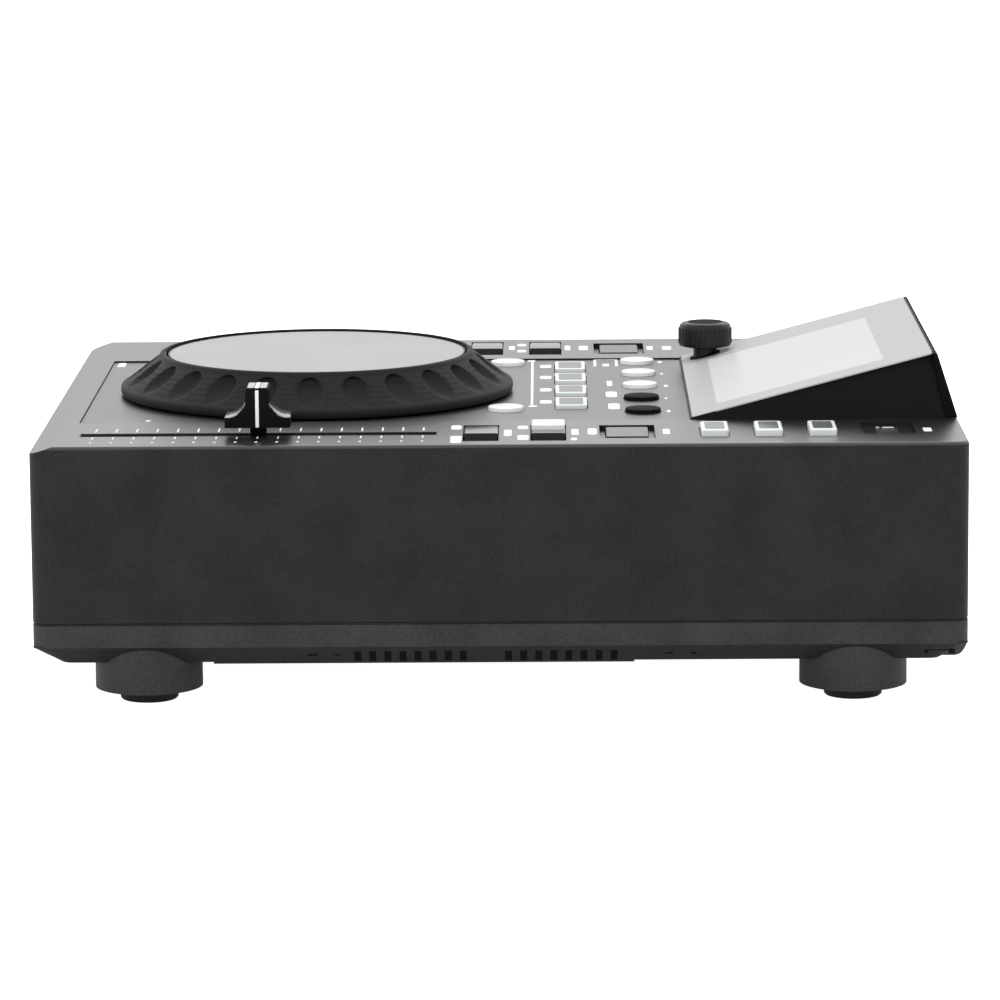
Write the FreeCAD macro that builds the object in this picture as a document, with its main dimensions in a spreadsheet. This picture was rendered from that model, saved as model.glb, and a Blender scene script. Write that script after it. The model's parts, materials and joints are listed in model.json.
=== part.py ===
import FreeCAD, Part
import os
import re
import Sketcher
from FreeCAD import Placement, Rotation, Vector

# Tabletop DJ disc player. Millimetres, +Z up, the ground at z = 0.
# The user stands at -Y and the display rises towards +Y.
# The origin is the middle of the footprint, under the foot pads.

# Driving dimensions
SIZES = {
    # Case
    "case_width": 228.0,
    "case_length": 285.0,
    "case_corner": 5.0,
    "top_height": 81.0,
    "edge_round": 1.2,
    "bevel_drop": 2.4,
    "bevel_run": 7.2,
    "wall": 2.8,
    "deck": 3.0,
    "groove_height": 0.8,
    "groove_depth": 0.8,
    "seam_height": 25.8,
    "band_height": 19.0,
    "pan_height": 13.3,
    "pan_inset_side": 6.0,
    "pan_inset_end": 8.5,
    "pan_floor": 2.5,
    "screw_x": 98.0,
    "screw_y": 130.0,
    "screw_length": 22.0,
    "screw_radius": 1.5,
    "screw_head": 3.0,
    "boss_radius": 3.4,
    "boss_length": 20.0,
    "vent_drop": 1.8,
    "vent_half_width": 102.0,
    "vent_front": -88.0,
    "vent_back": 41.0,
    # Side vents, two groups of slots on each side
    "slot_width": 2.1,
    "slot_pitch": 4.6,
    "slot_low": 13.6,
    "slot_high": 16.6,
    "slot_front_group": -43.5,
    "slot_back_group": 2.5,
    # Recess and control panel
    "recess_half": 67.0,
    "recess_front": -131.0,
    "recess_back": 139.0,
    "panel_height": 79.0,
    "panel_thick": 3.0,
    "panel_flange": 4.0,
    "panel_back": 57.0,
    "board_top": 70.0,
    "board_thick": 1.6,
    "fit_gap": 0.3,
    # Feet
    "foot_radius": 16.5,
    "foot_x": 96.5,
    "foot_y": 108.3,
    "foot_pad_radius": 9.0,
    "foot_pad_height": 4.0,
    # Jog wheel
    "jog_y": -59.7,
    "jog_radius": 63.4,
    "jog_top_radius": 50.2,
    "jog_plate_radius": 47.6,
    "jog_base": 79.8,
    "jog_lip": 83.0,
    "jog_top": 93.5,
    "scallops": 24,
    "scallop_radius": 5.2,
    "scallop_reach": 7.3,
    "scallop_lean": 49.8,
    "scallop_centre": 58.6,
    "scallop_height": 90.1,
    "spindle_radius": 3.97,
    "bearing_bore": 4.0,
    "bearing_radius": 11.0,
    # Pitch fader
    "strip_x": 91.4,
    "fader_y": -73.8,
    "fader_slot": 109.0,
    "fader_slot_width": 2.4,
    "fader_cap_length": 20.0,
    "fader_cap_width": 12.5,
    "fader_grip_length": 7.4,
    "fader_cap_top": 96.3,
    # Buttons
    "button_radius": 5.6,
    "button_rise": 2.0,
    "key_x": 17.0,
    "key_y": 10.0,
    "pad_x": 17.0,
    "pad_y": 8.4,
    "big_radius": 13.0,
    "big_rise": 2.6,
    "rocker_x": 29.0,
    "rocker_y": 10.4,
    "rocker_ridge": 3.0,
    "rocker_end": 0.8,
    "bar_x": 18.4,
    "bar_y": 12.8,
    "bar_recess_x": 25.0,
    "bar_recess_y": 17.0,
    # Display
    "display_front": 59.3,
    "display_back": 135.0,
    "display_base": 138.7,
    "display_half": 66.7,
    "display_lean": 4.4,
    "display_lip": 0.4,
    "display_tilt": 14.8,
    "display_length": 78.3,
    "lens_half": 60.4,
    "lens_margin": 2.0,
    "lens_thick": 1.2,
    "lcd_x": 5.5,
    "lcd_width": 105.5,
    "lcd_height": 67.2,
    "lcd_view_width": 95.0,
    "lcd_view_height": 53.9,
    "lcd_front": 9.0,
    "lcd_thick": 3.2,
    # Push encoder beside the screen
    "encoder_x": -54.0,
    "encoder_y": 67.6,
    "encoder_radius": 9.1,
    "encoder_low": 86.4,
    "encoder_top": 94.4,
    "encoder_shaft": 3.0,
    # Disc slot and drive
    "disc_y": -66.0,
    "mouth_half": 63.5,
    "mouth_low": 43.0,
    "mouth_high": 50.0,
    "drive_half": 73.0,
    "drive_front": -137.0,
    "drive_back": 8.0,
    "drive_low": 27.0,
    "drive_high": 60.0,
    "sheet_metal": 1.2,
    # USB port on top
    "usb_y": 119.3,
    "usb_x": 86.0,
    "usb_recess_x": 23.0,
    "usb_recess_y": 16.0,
    # Rear panel
    "rear_half": 96.0,
    "rear_low": 33.0,
    "rear_high": 63.0,
    "rear_thick": 1.5,
    "switch_x": 54.0,
}

doc = FreeCAD.newDocument("tabletop_player")
sheet = doc.addObject("Spreadsheet::Sheet", "Sizes")
PARTS = []


def fill_sheet():
    """Write the driving dimensions into the sheet, one alias to a cell."""
    for row, (alias, number) in enumerate(SIZES.items(), start=1):
        sheet.set("A%d" % row, alias)
        sheet.set("B%d" % row, str(number))
        sheet.setAlias("B%d" % row, alias)
    doc.recompute()


# Links to the sheet

def linked(text):
    """Turn a formula of plain aliases into one that reads the sheet."""
    def swap(match):
        word = match.group(0)
        return "Sizes." + word if word in SIZES else word
    return re.sub(r"[a-z][a-z_0-9]*", swap, text)


def bind(item, prop, text):
    item.setExpression(prop, linked(text))


def place(item, x="0", y="0", z="0", turn=None):
    """Bind an object's place; turn is a rotation that stays as it is."""
    if turn is not None:
        item.Placement = Placement(Vector(0, 0, 0), turn)
    for axis, text in (("x", x), ("y", y), ("z", z)):
        if text != "0":
            bind(item, "Placement.Base." + axis, text)
    return item


def keep(item, label):
    """Name an object as one finished sub-part."""
    item.Label = label
    PARTS.append(item)
    return item


# Part primitives and booleans

TURN_TO_X = Rotation(Vector(0, 1, 0), 90)
TURN_TO_Y = Rotation(Vector(1, 0, 0), -90)


def block(x0, x1, y0, y1, z0, z1):
    box = doc.addObject("Part::Box", "Block")
    bind(box, "Length", "(%s) - (%s)" % (x1, x0))
    bind(box, "Width", "(%s) - (%s)" % (y1, y0))
    bind(box, "Height", "(%s) - (%s)" % (z1, z0))
    return place(box, x0, y0, z0)


def centred(x, y, size_x, size_y, z0, z1):
    return block("(%s) - (%s) / 2" % (x, size_x), "(%s) + (%s) / 2" % (x, size_x),
                 "(%s) - (%s) / 2" % (y, size_y), "(%s) + (%s) / 2" % (y, size_y), z0, z1)


def rod(x, y, z0, radius, length, turn=None):
    bar = doc.addObject("Part::Cylinder", "Rod")
    bind(bar, "Radius", radius)
    bind(bar, "Height", length)
    return place(bar, x, y, z0, turn)


def tube(x, y, z0, radius, bore, length, turn=None):
    return cut(rod(x, y, z0, radius, length, turn), rod(x, y, z0, bore, length, turn))


def fuse(*items):
    joined = doc.addObject("Part::MultiFuse", "Joined")
    joined.Shapes = list(items)
    return joined


def cut(base, *tools):
    result = doc.addObject("Part::Cut", "CutAway")
    result.Base = base
    result.Tool = tools[0] if len(tools) == 1 else fuse(*tools)
    return result


def group(*items):
    """Separate solids that share one sub-part."""
    bundle = doc.addObject("Part::Compound", "Group")
    bundle.Links = list(items)
    return bundle


# PartDesign bodies

def new_body():
    return doc.addObject("PartDesign::Body", "Body")


def sketch_on(body, role, offset="0"):
    """A sketch on one of the body's own planes, moved along its normal."""
    plane = [part for part in body.Origin.OriginFeatures if part.Role == role][0]
    drawing = body.newObject("Sketcher::SketchObject", "Sketch")
    drawing.AttachmentSupport = (plane, "")
    drawing.MapMode = "FlatFace"
    if offset != "0":
        bind(drawing, "AttachmentOffset.Base.z", offset)
    return drawing


def fix_point(drawing, line, end, x, y):
    """Tie one end of a line to a place given by two formulas."""
    for kind, text in (("DistanceX", x), ("DistanceY", y)):
        number = drawing.addConstraint(Sketcher.Constraint(kind, -1, 1, line, end, 1.0))
        drawing.setExpression("Constraints[%d]" % number, linked(text))


def outline(drawing, points):
    """A closed outline of straight sides through points given as formulas."""
    rough = [Vector(10 + 5 * i, (i * i) % 7, 0) for i in range(len(points))]
    lines = []
    for i in range(len(points)):
        ends = rough[i], rough[(i + 1) % len(points)]
        lines.append(drawing.addGeometry(Part.LineSegment(*ends), False))
    for i, line in enumerate(lines):
        drawing.addConstraint(Sketcher.Constraint("Coincident", line, 2, lines[(i + 1) % len(lines)], 1))
    for line, (x, y) in zip(lines, points):
        fix_point(drawing, line, 1, x, y)


def rectangle(drawing, x0, x1, y0, y1):
    outline(drawing, [(x0, y0), (x1, y0), (x1, y1), (x0, y1)])


def circle(drawing, x, y, radius):
    ring = drawing.addGeometry(Part.Circle(Vector(3, 4, 0), Vector(0, 0, 1), 2), False)
    number = drawing.addConstraint(Sketcher.Constraint("Radius", ring, 2.0))
    drawing.setExpression("Constraints[%d]" % number, linked(radius))
    fix_point(drawing, ring, 3, x, y)


def pad(body, drawing, length, backwards=False):
    feature = body.newObject("PartDesign::Pad", "Pad")
    feature.Profile = drawing
    bind(feature, "Length", length)
    feature.Reversed = backwards
    return feature


def pad_both_ways(body, drawing, length):
    feature = pad(body, drawing, length)
    feature.SideType = "Symmetric"
    return feature


def pocket(body, drawing, length, backwards=False):
    feature = body.newObject("PartDesign::Pocket", "Pocket")
    feature.Profile = drawing
    bind(feature, "Length", length)
    feature.Reversed = backwards
    return feature


def turned(body, drawing):
    """Turn a drawing on the XZ plane round the Z axis."""
    feature = body.newObject("PartDesign::Revolution", "Turned")
    feature.Profile = drawing
    feature.ReferenceAxis = (drawing, ["V_Axis"])
    feature.Angle = 360.0
    return feature


def edges_where(feature, test):
    """Names of the edges whose middle passes a test."""
    names = []
    for number, edge in enumerate(feature.Shape.Edges, start=1):
        middle = edge.valueAt((edge.FirstParameter + edge.LastParameter) / 2)
        if test(edge, middle):
            names.append("Edge%d" % number)
    return names


def rounded(body, feature, test, radius):
    doc.recompute()
    fillet = body.newObject("PartDesign::Fillet", "Round")
    fillet.Base = (feature, edges_where(feature, test))
    bind(fillet, "Radius", radius)
    return fillet


def is_upright(edge, middle):
    direction = edge.tangentAt(edge.FirstParameter)
    return abs(direction.z) > 0.99


def at_height(number):
    return lambda edge, middle: abs(middle.z - number) < 0.01 and abs(
        edge.valueAt(edge.FirstParameter).z - number) < 0.01


# Where the controls are

LIT_BUTTONS = {"time_button": ("-58", "1.7"), "loop_button": ("41.5", "1.7")}
HOT_CUE_X = ["-46.8", "-20.5", "5.8", "32.1"]
HOT_CUE_Y = "22.4"
MODE_X = ["-60.0", "-33.3", "-6.6", "20.1", "46.8"]
MODE_Y = "44.9"
DECK_KEYS_Y = ["65.9", "82.4", "98.9"]
NEAR_ROCKERS_Y = ["-5.6", "15.0"]
FAR_ROCKERS_Y = ["-5.6", "14.2"]
BAR_Y = "39.2"
TRANSPORT_Y = {"cue_button": "-78", "play_button": "-44"}


def deck_openings():
    """Tools that pierce the two strips beside the control panel."""
    low, high = "top_height - deck - 1", "top_height + 1"
    gap = "2 * fit_gap"
    tools = [centred("strip_x", "fader_y", "fader_slot_width", "fader_slot", low, high)]
    for y in NEAR_ROCKERS_Y:
        tools.append(centred("strip_x", y, "rocker_x + 1.6", "rocker_y + " + gap, low, high))
    for y in FAR_ROCKERS_Y:
        tools.append(centred("-strip_x", y, "rocker_x + 1.6", "rocker_y + " + gap, low, high))
    for x in ("strip_x - 1.5", "1.5 - strip_x"):
        tools.append(centred(x, BAR_Y, "bar_recess_x", "bar_recess_y", "top_height - 1.6", high))
        tools.append(centred(x, BAR_Y, "bar_x + " + gap, "bar_y + " + gap, low, high))
    for y in DECK_KEYS_Y:
        tools.append(centred("strip_x", y, "pad_x + " + gap, "pad_y + " + gap, low, high))
    for y in TRANSPORT_Y.values():
        tools.append(rod("-strip_x", y, low, "big_radius + fit_gap", "deck + 2"))
    tools.append(centred("usb_x", "usb_y", "usb_recess_x", "usb_recess_y", "top_height - 1.2", high))
    tools.append(centred("usb_x", "usb_y", "15.4", "7.4", low, high))
    return tools


def screw_places():
    return [(side + "screw_x", end + "screw_y") for side in ("", "-") for end in ("", "-")]


def screw_shafts(gap):
    """The four case screws' shanks, with a gap all round."""
    return [rod(x, y, "pan_height + 0.6", "screw_radius + " + gap, "screw_length + 1")
            for x, y in screw_places()]


def screw_bosses():
    """Bosses inside the shell that take the case screws, each with a web to the side wall."""
    pieces = []
    for x, y in screw_places():
        side = "-" if x.startswith("-") else ""
        pieces.append(rod(x, y, "seam_height", "boss_radius", "boss_length"))
        pieces.append(centred(side + "(screw_x + case_width / 2 - wall) / 2", y,
                              "case_width / 2 - wall - screw_x + 1", "2", "seam_height",
                              "seam_height + boss_length"))
    return pieces


def make_upper_housing():
    """The moulded shell: four walls, the deck, the recess, the disc mouth and the rear window."""
    body = new_body()
    foot = sketch_on(body, "XY_Plane", "seam_height")
    rectangle(foot, "groove_depth - case_width / 2", "case_width / 2 - groove_depth",
              "groove_depth - case_length / 2", "case_length / 2 - groove_depth")
    rounded(body, pad(body, foot, "groove_height"), is_upright, "case_corner - groove_depth")
    walls = sketch_on(body, "XY_Plane", "seam_height + groove_height")
    rectangle(walls, "-case_width / 2", "case_width / 2", "-case_length / 2", "case_length / 2")
    shell = pad(body, walls, "top_height - seam_height - groove_height")
    half = SIZES["case_width"] / 2
    corners = rounded(body, shell, lambda edge, middle: is_upright(edge, middle)
                      and abs(abs(middle.x) - half) < 0.01, "case_corner")
    rounded(body, corners, at_height(SIZES["top_height"]), "edge_round")
    bevel = sketch_on(body, "YZ_Plane")
    outline(bevel, [("-case_length / 2 - 1", "top_height - bevel_drop - bevel_drop / bevel_run"),
                    ("-case_length / 2 + bevel_run", "top_height"),
                    ("-case_length / 2 + bevel_run", "top_height + 1"),
                    ("-case_length / 2 - 1", "top_height + 1")])
    slope = pocket(body, bevel, "case_width")
    slope.SideType = "Symmetric"
    room = sketch_on(body, "XY_Plane", "seam_height")
    rectangle(room, "wall - case_width / 2", "case_width / 2 - wall",
              "wall - case_length / 2", "case_length / 2 - wall")
    pocket(body, room, "top_height - seam_height - deck", backwards=True)
    recess = sketch_on(body, "XY_Plane", "top_height")
    rectangle(recess, "-recess_half", "recess_half", "recess_front", "recess_back")
    pocket(body, recess, "deck + 1")
    mouth = block("-mouth_half", "mouth_half", "-case_length / 2 - 1", "-case_length / 2 + 8",
                  "mouth_low", "mouth_high")
    rear = block("-rear_half", "rear_half", "case_length / 2 - 8", "case_length / 2 + 1",
                 "rear_low", "rear_high")
    shell = cut(body, mouth, rear, *deck_openings())
    keep(cut(fuse(shell, *screw_bosses()), *screw_shafts("0.05")), "upper_housing")


def make_lower_case():
    """The bottom pan: an upright band, a sloping skirt with vent slots and a flat floor."""
    body = new_body()
    band = sketch_on(body, "XY_Plane", "band_height")
    rectangle(band, "-case_width / 2", "case_width / 2", "-case_length / 2", "case_length / 2")
    rounded(body, pad(body, band, "seam_height - band_height"), is_upright, "case_corner")
    slope = []
    for offset, side, end in (("band_height", "0", "0"), ("pan_height", "pan_inset_side", "pan_inset_end")):
        ring = sketch_on(body, "XY_Plane", offset)
        rectangle(ring, "%s - case_width / 2" % side, "case_width / 2 - %s" % side,
                  "%s - case_length / 2" % end, "case_length / 2 - %s" % end)
        slope.append(ring)
    skirt = body.newObject("PartDesign::AdditiveLoft", "Skirt")
    skirt.Profile = slope[0]
    skirt.Sections = [slope[1]]
    skirt.Ruled = True
    corner_test = SIZES["case_length"] / 2 - SIZES["pan_inset_end"] - 1
    rounded(body, skirt, lambda edge, middle: SIZES["pan_height"] + 1 < middle.z < SIZES["band_height"] - 1
            and abs(middle.y) > corner_test and abs(middle.x) > 100
            and abs(edge.tangentAt(edge.FirstParameter).z) > 0.3, "case_corner")
    belly = sketch_on(body, "XY_Plane", "pan_height")
    rectangle(belly, "-vent_half_width", "vent_half_width", "vent_front", "vent_back")
    pad(body, belly, "vent_drop", backwards=True)
    room = sketch_on(body, "XY_Plane", "seam_height")
    rectangle(room, "wall - case_width / 2", "case_width / 2 - wall",
              "wall - case_length / 2", "case_length / 2 - wall")
    pocket(body, room, "seam_height - band_height - 0.5")
    deep = sketch_on(body, "XY_Plane", "band_height + 0.6")
    rectangle(deep, "wall + pan_inset_side - case_width / 2", "case_width / 2 - wall - pan_inset_side",
              "wall + pan_inset_end - case_length / 2", "case_length / 2 - wall - pan_inset_end")
    pocket(body, deep, "band_height + 0.6 - pan_height - pan_floor")
    slots = []
    for start in ("slot_front_group", "slot_back_group"):
        for number in range(8):
            middle = "%s + %d * slot_pitch" % (start, number)
            slots.append(centred("0", middle, "case_width + 2", "slot_width", "slot_low", "slot_high"))
    solid_core = block("-vent_half_width", "vent_half_width", "vent_front", "vent_back", "0", "top_height")
    pierced = cut(fuse(*slots), solid_core)
    posts = [rod(x, y, "pan_height + pan_floor - 1", "3", "7")
             for x in ("-96", "12") for y in ("22", "122")]
    for x, y in screw_places():
        posts.append(rod(x, y, "pan_height + pan_floor - 1", "boss_radius",
                         "seam_height - pan_height - pan_floor + 1"))
    heads = [rod(x, y, "pan_height - 1", "screw_head + 0.2", "3") for x, y in screw_places()]
    shafts = [rod(x, y, "pan_height - 1", "screw_radius + 0.2", "seam_height")
              for x, y in screw_places()]
    keep(cut(fuse(cut(body, pierced), *posts), *heads, *shafts), "lower_case")


def pan_volume():
    """The outside of the pan as one solid, for trimming the feet."""
    wedge = doc.addObject("Part::Wedge", "PanVolume")
    for prop, text in (
            ("Xmin", "-case_width / 2"), ("Xmax", "case_width / 2"),
            ("Zmin", "-case_length / 2"), ("Zmax", "case_length / 2"),
            ("Ymin", "0"), ("Ymax", "band_height - pan_height"),
            ("X2min", "pan_inset_side - case_width / 2"), ("X2max", "case_width / 2 - pan_inset_side"),
            ("Z2min", "pan_inset_end - case_length / 2"), ("Z2max", "case_length / 2 - pan_inset_end")):
        bind(wedge, prop, text)
    return place(wedge, "0", "0", "band_height", Rotation(Vector(1, 0, 0), -90))


def make_feet():
    """Four round feet that meet the sloping skirt, and their rubber pads."""
    feet = []
    pads = []
    for side in ("", "-"):
        for end in ("", "-"):
            x, y = side + "foot_x", end + "foot_y"
            column = rod(x, y, "foot_pad_height", "foot_radius", "band_height - foot_pad_height")
            feet.append(cut(column, pan_volume()))
            pads.append(rod(x, y, "0", "foot_pad_radius", "foot_pad_height"))
    keep(group(*feet), "feet")
    keep(group(*pads), "foot_pads")


def make_control_panel():
    """The inlay in the recess, with a flange under the deck and holes for its controls."""
    body = new_body()
    face = sketch_on(body, "XY_Plane", "panel_height")
    rectangle(face, "0.1 - recess_half", "recess_half - 0.1", "recess_front + 0.1", "panel_back")
    pad(body, face, "panel_thick", backwards=True)
    flange = sketch_on(body, "XY_Plane", "panel_height - panel_thick")
    rectangle(flange, "-recess_half - panel_flange", "recess_half + panel_flange",
              "recess_front - panel_flange", "panel_back")
    pad(body, flange, "top_height - deck - panel_height + panel_thick")
    low, high = "panel_height - panel_thick - 1", "panel_height + 1"
    thick = "panel_thick + 2"
    tools = [rod("0", "jog_y", low, "bearing_radius + 6", thick)]
    for x, y in LIT_BUTTONS.values():
        tools.append(rod(x, y, low, "button_radius + fit_gap", thick))
    for x in MODE_X:
        tools.append(rod(x, MODE_Y, low, "button_radius + fit_gap", thick))
    for x in HOT_CUE_X:
        tools.append(centred(x, HOT_CUE_Y, "key_x + 2 * fit_gap", "key_y + 2 * fit_gap", low, high))
    spacers = [rod(x, y, "board_top", "2.2", "panel_height - panel_thick - board_top")
               for x in ("-68.6", "68.6") for y in ("0", "51")]
    keep(fuse(cut(body, *tools), *spacers), "control_panel")


def round_key(label, x, y, surface, radius, rise):
    """A round cap with a domed edge and a flange that stops it under the panel."""
    body = new_body()
    profile = sketch_on(body, "XZ_Plane")
    outline(profile, [("0", "-4.2"), (radius + " + 1.2", "-4.2"), (radius + " + 1.2", "-3.3"),
                      (radius, "-3.3"), (radius, rise + " - 0.7"), (radius + " - 0.7", rise), ("0", rise)])
    turned(body, profile)
    place(body, x, y, surface)
    keep(body, label)


def square_key(label, x, y, surface, size_x, size_y, rise):
    """A rectangular cap with rounded corners and a flange under the panel."""
    body = new_body()
    face = sketch_on(body, "XY_Plane", "-3.4")
    rectangle(face, "-(%s) / 2" % size_x, "(%s) / 2" % size_x, "-(%s) / 2" % size_y, "(%s) / 2" % size_y)
    cap = rounded(body, pad(body, face, rise + " + 3.4"), is_upright, "0.8")
    top = SIZES[rise]
    rounded(body, cap, at_height(top), "0.5")
    flange = sketch_on(body, "XY_Plane", "-4.2")
    rectangle(flange, "-(%s) / 2 - 1" % size_x, "(%s) / 2 + 1" % size_x,
              "-(%s) / 2 - 1" % size_y, "(%s) / 2 + 1" % size_y)
    pad(body, flange, "0.9")
    place(body, x, y, surface)
    keep(body, label)


def rocker(label, x, y):
    """A two-way key: two flat slopes that meet in a ridge, with its pivot below."""
    body = new_body()
    side = sketch_on(body, "XZ_Plane")
    outline(side, [("-rocker_x / 2", "-3"), ("-rocker_x / 2", "rocker_end"), ("-1.2", "rocker_ridge"),
                   ("1.2", "rocker_ridge"), ("rocker_x / 2", "rocker_end"), ("rocker_x / 2", "-3"),
                   ("4", "-4.6"), ("-4", "-4.6")])
    pad_both_ways(body, side, "rocker_y")
    place(body, x, y, "top_height")
    keep(body, label)


def make_keys():
    for label, (x, y) in LIT_BUTTONS.items():
        round_key(label, x, y, "panel_height", "button_radius", "button_rise")
    for number, x in enumerate(MODE_X, start=1):
        round_key("mode_button_%d" % number, x, MODE_Y, "panel_height", "button_radius", "button_rise")
    for number, x in enumerate(HOT_CUE_X, start=1):
        square_key("hot_cue_%d" % number, x, HOT_CUE_Y, "panel_height", "key_x", "key_y", "button_rise")
    for number, y in enumerate(DECK_KEYS_Y, start=1):
        square_key("deck_key_%d" % number, "strip_x", y, "top_height", "pad_x", "pad_y", "button_rise")
    for label, y in TRANSPORT_Y.items():
        round_key(label, "-strip_x", y, "top_height", "big_radius", "big_rise")
    for label, x, y in (("pitch_rocker", "strip_x", NEAR_ROCKERS_Y[0]),
                        ("search_rocker", "strip_x", NEAR_ROCKERS_Y[1]),
                        ("track_rocker", "-strip_x", FAR_ROCKERS_Y[0]),
                        ("folder_rocker", "-strip_x", FAR_ROCKERS_Y[1])):
        rocker(label, x, y)
    for label, x in (("lock_bar", "strip_x - 1.5"), ("source_bar", "1.5 - strip_x")):
        cap = centred(x, BAR_Y, "bar_x", "bar_y", "top_height - deck - 0.8", "top_height - 0.2")
        flange = centred(x, BAR_Y, "bar_x + 2.4", "bar_y + 2.4", "top_height - deck - 1.6",
                         "top_height - deck - 0.6")
        keep(fuse(cap, flange), label)


def scallop(number):
    """One finger dimple of the grip: an ellipsoid that lies along the skirt's slope."""
    angle = 360 * number / SIZES["scallops"]
    dent = doc.addObject("Part::Ellipsoid", "Scallop")
    bind(dent, "Radius1", "scallop_reach")
    bind(dent, "Radius2", "scallop_radius")
    bind(dent, "Radius3", "scallop_radius")
    turn = Rotation(Vector(0, 0, 1), angle) * Rotation(Vector(0, 1, 0), -SIZES["scallop_lean"])
    return place(dent, "scallop_centre * cos(%g)" % angle, "jog_y + scallop_centre * sin(%g)" % angle,
                 "scallop_height", turn)


def make_jog():
    """The jog wheel: rubber grip with scalloped lobes, hub, trim ring, plate, spindle and code disc."""
    grip = new_body()
    section = sketch_on(grip, "XZ_Plane")
    outline(section, [("jog_radius - 6", "jog_base"), ("jog_radius", "jog_base + 0.6"),
                      ("jog_radius", "jog_lip - 0.6"), ("jog_radius - 1.4", "jog_lip"),
                      ("jog_top_radius + 0.8", "jog_top - 1.2"), ("jog_top_radius - 0.4", "jog_top"),
                      ("jog_top_radius - 1.2", "jog_top"), ("jog_top_radius - 1.2", "jog_base + 8"),
                      ("jog_radius - 6", "jog_base + 3")])
    turned(grip, section)
    place(grip, "0", "jog_y")
    keep(cut(grip, *[scallop(number) for number in range(SIZES["scallops"])]), "jog_grip")

    hub = new_body()
    disc = sketch_on(hub, "XZ_Plane")
    outline(disc, [("spindle_radius", "jog_base + 8"), ("jog_top_radius - 1.2", "jog_base + 8"),
                   ("jog_top_radius - 1.2", "jog_top"), ("jog_plate_radius + 0.2", "jog_top"),
                   ("jog_plate_radius + 0.2", "jog_top - 2"), ("spindle_radius", "jog_top - 2")])
    turned(hub, disc)
    place(hub, "0", "jog_y")
    keep(hub, "jog_hub")

    keep(rod("0", "jog_y", "jog_top - 2", "jog_plate_radius", "1.9"), "jog_plate")
    keep(fuse(rod("0", "jog_y", "68", "spindle_radius", "jog_top - 2 - 68"),
              rod("0", "jog_y", "69", "18", "1")), "jog_spindle")


def make_jog_support():
    """The fixed boss under the wheel, its two ball bearings and the sensor that reads the code disc."""
    mount = new_body()
    section = sketch_on(mount, "XZ_Plane")
    outline(section, [("bearing_radius", "72"), ("40", "72"), ("40", "panel_height - panel_thick"),
                      ("bearing_radius + 4", "panel_height - panel_thick"),
                      ("bearing_radius + 4", "jog_base + 6.6"), ("bearing_radius", "jog_base + 6.6")])
    turned(mount, section)
    place(mount, "0", "jog_y")
    sensor = cut(centred("22", "jog_y", "14", "10", "66", "73"),
                 centred("18", "jog_y", "9", "12", "68", "71"))
    keep(fuse(mount, sensor), "jog_mount")
    rings = [tube("0", "jog_y", z, "bearing_radius", "bearing_bore", "7") for z in ("72.1", "79.3")]
    keep(group(*rings), "jog_bearings")


def make_fader():
    """The pitch fader: slide potentiometer, lever, and a cap with flared concave wings."""
    body = new_body()
    side = sketch_on(body, "YZ_Plane")
    wings = [("-fader_cap_length / 2", "1"), ("fader_cap_length / 2", "1"), ("fader_cap_length / 2", "3.4"),
             ("fader_grip_length / 2 + 1.6", "5.4"), ("fader_grip_length / 2", "9"),
             ("fader_grip_length / 2 - 0.5", "fader_cap_top - top_height"),
             ("0.5 - fader_grip_length / 2", "fader_cap_top - top_height"),
             ("-fader_grip_length / 2", "9"), ("-fader_grip_length / 2 - 1.6", "5.4"),
             ("-fader_cap_length / 2", "3.4")]
    outline(side, wings)
    pad_both_ways(body, side, "fader_cap_width")
    place(body, "strip_x", "fader_y", "top_height")
    lever = centred("strip_x", "fader_y", "1.2", "4", "top_height - 10", "top_height + 9")
    keep(fuse(body, lever), "fader_cap")
    shell = centred("strip_x", "fader_y", "13", "fader_slot + 14",
                    "top_height - 15", "top_height - deck - 1")
    room = centred("strip_x", "fader_y", "10", "fader_slot + 6",
                   "top_height - 13.5", "top_height - deck - 2")
    slit = centred("strip_x", "fader_y", "2.4", "fader_slot", "top_height - 6", "top_height - deck")
    ears = [centred("strip_x", "fader_y + " + s, "13", "5", "top_height - deck - 1", "top_height - deck")
            for s in ("fader_slot / 2 + 4", "-fader_slot / 2 - 4")]
    keep(fuse(cut(shell, room, slit), *ears), "fader_track")


def tilted(item_box, along, across, lift):
    """Put a box on the display's slope: along it, across it, and lifted square to it."""
    angle = SIZES["display_tilt"]
    item_box.Placement = Placement(Vector(0, 0, 0), Rotation(Vector(1, 0, 0), angle))
    slope_y = "display_front + (%s) * cos(display_tilt) - (%s) * sin(display_tilt)" % (along, lift)
    slope_z = ("top_height + display_lip + (%s) * sin(display_tilt) + (%s) * cos(display_tilt)"
               % (along, lift))
    bind(item_box, "Placement.Base.x", across)
    bind(item_box, "Placement.Base.y", slope_y)
    bind(item_box, "Placement.Base.z", slope_z)
    return item_box


def slope_box(across, along, lift, width, length, thick):
    box = doc.addObject("Part::Box", "SlopeBlock")
    bind(box, "Length", width)
    bind(box, "Width", length)
    bind(box, "Height", thick)
    return tilted(box, along, across, lift)


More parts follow.
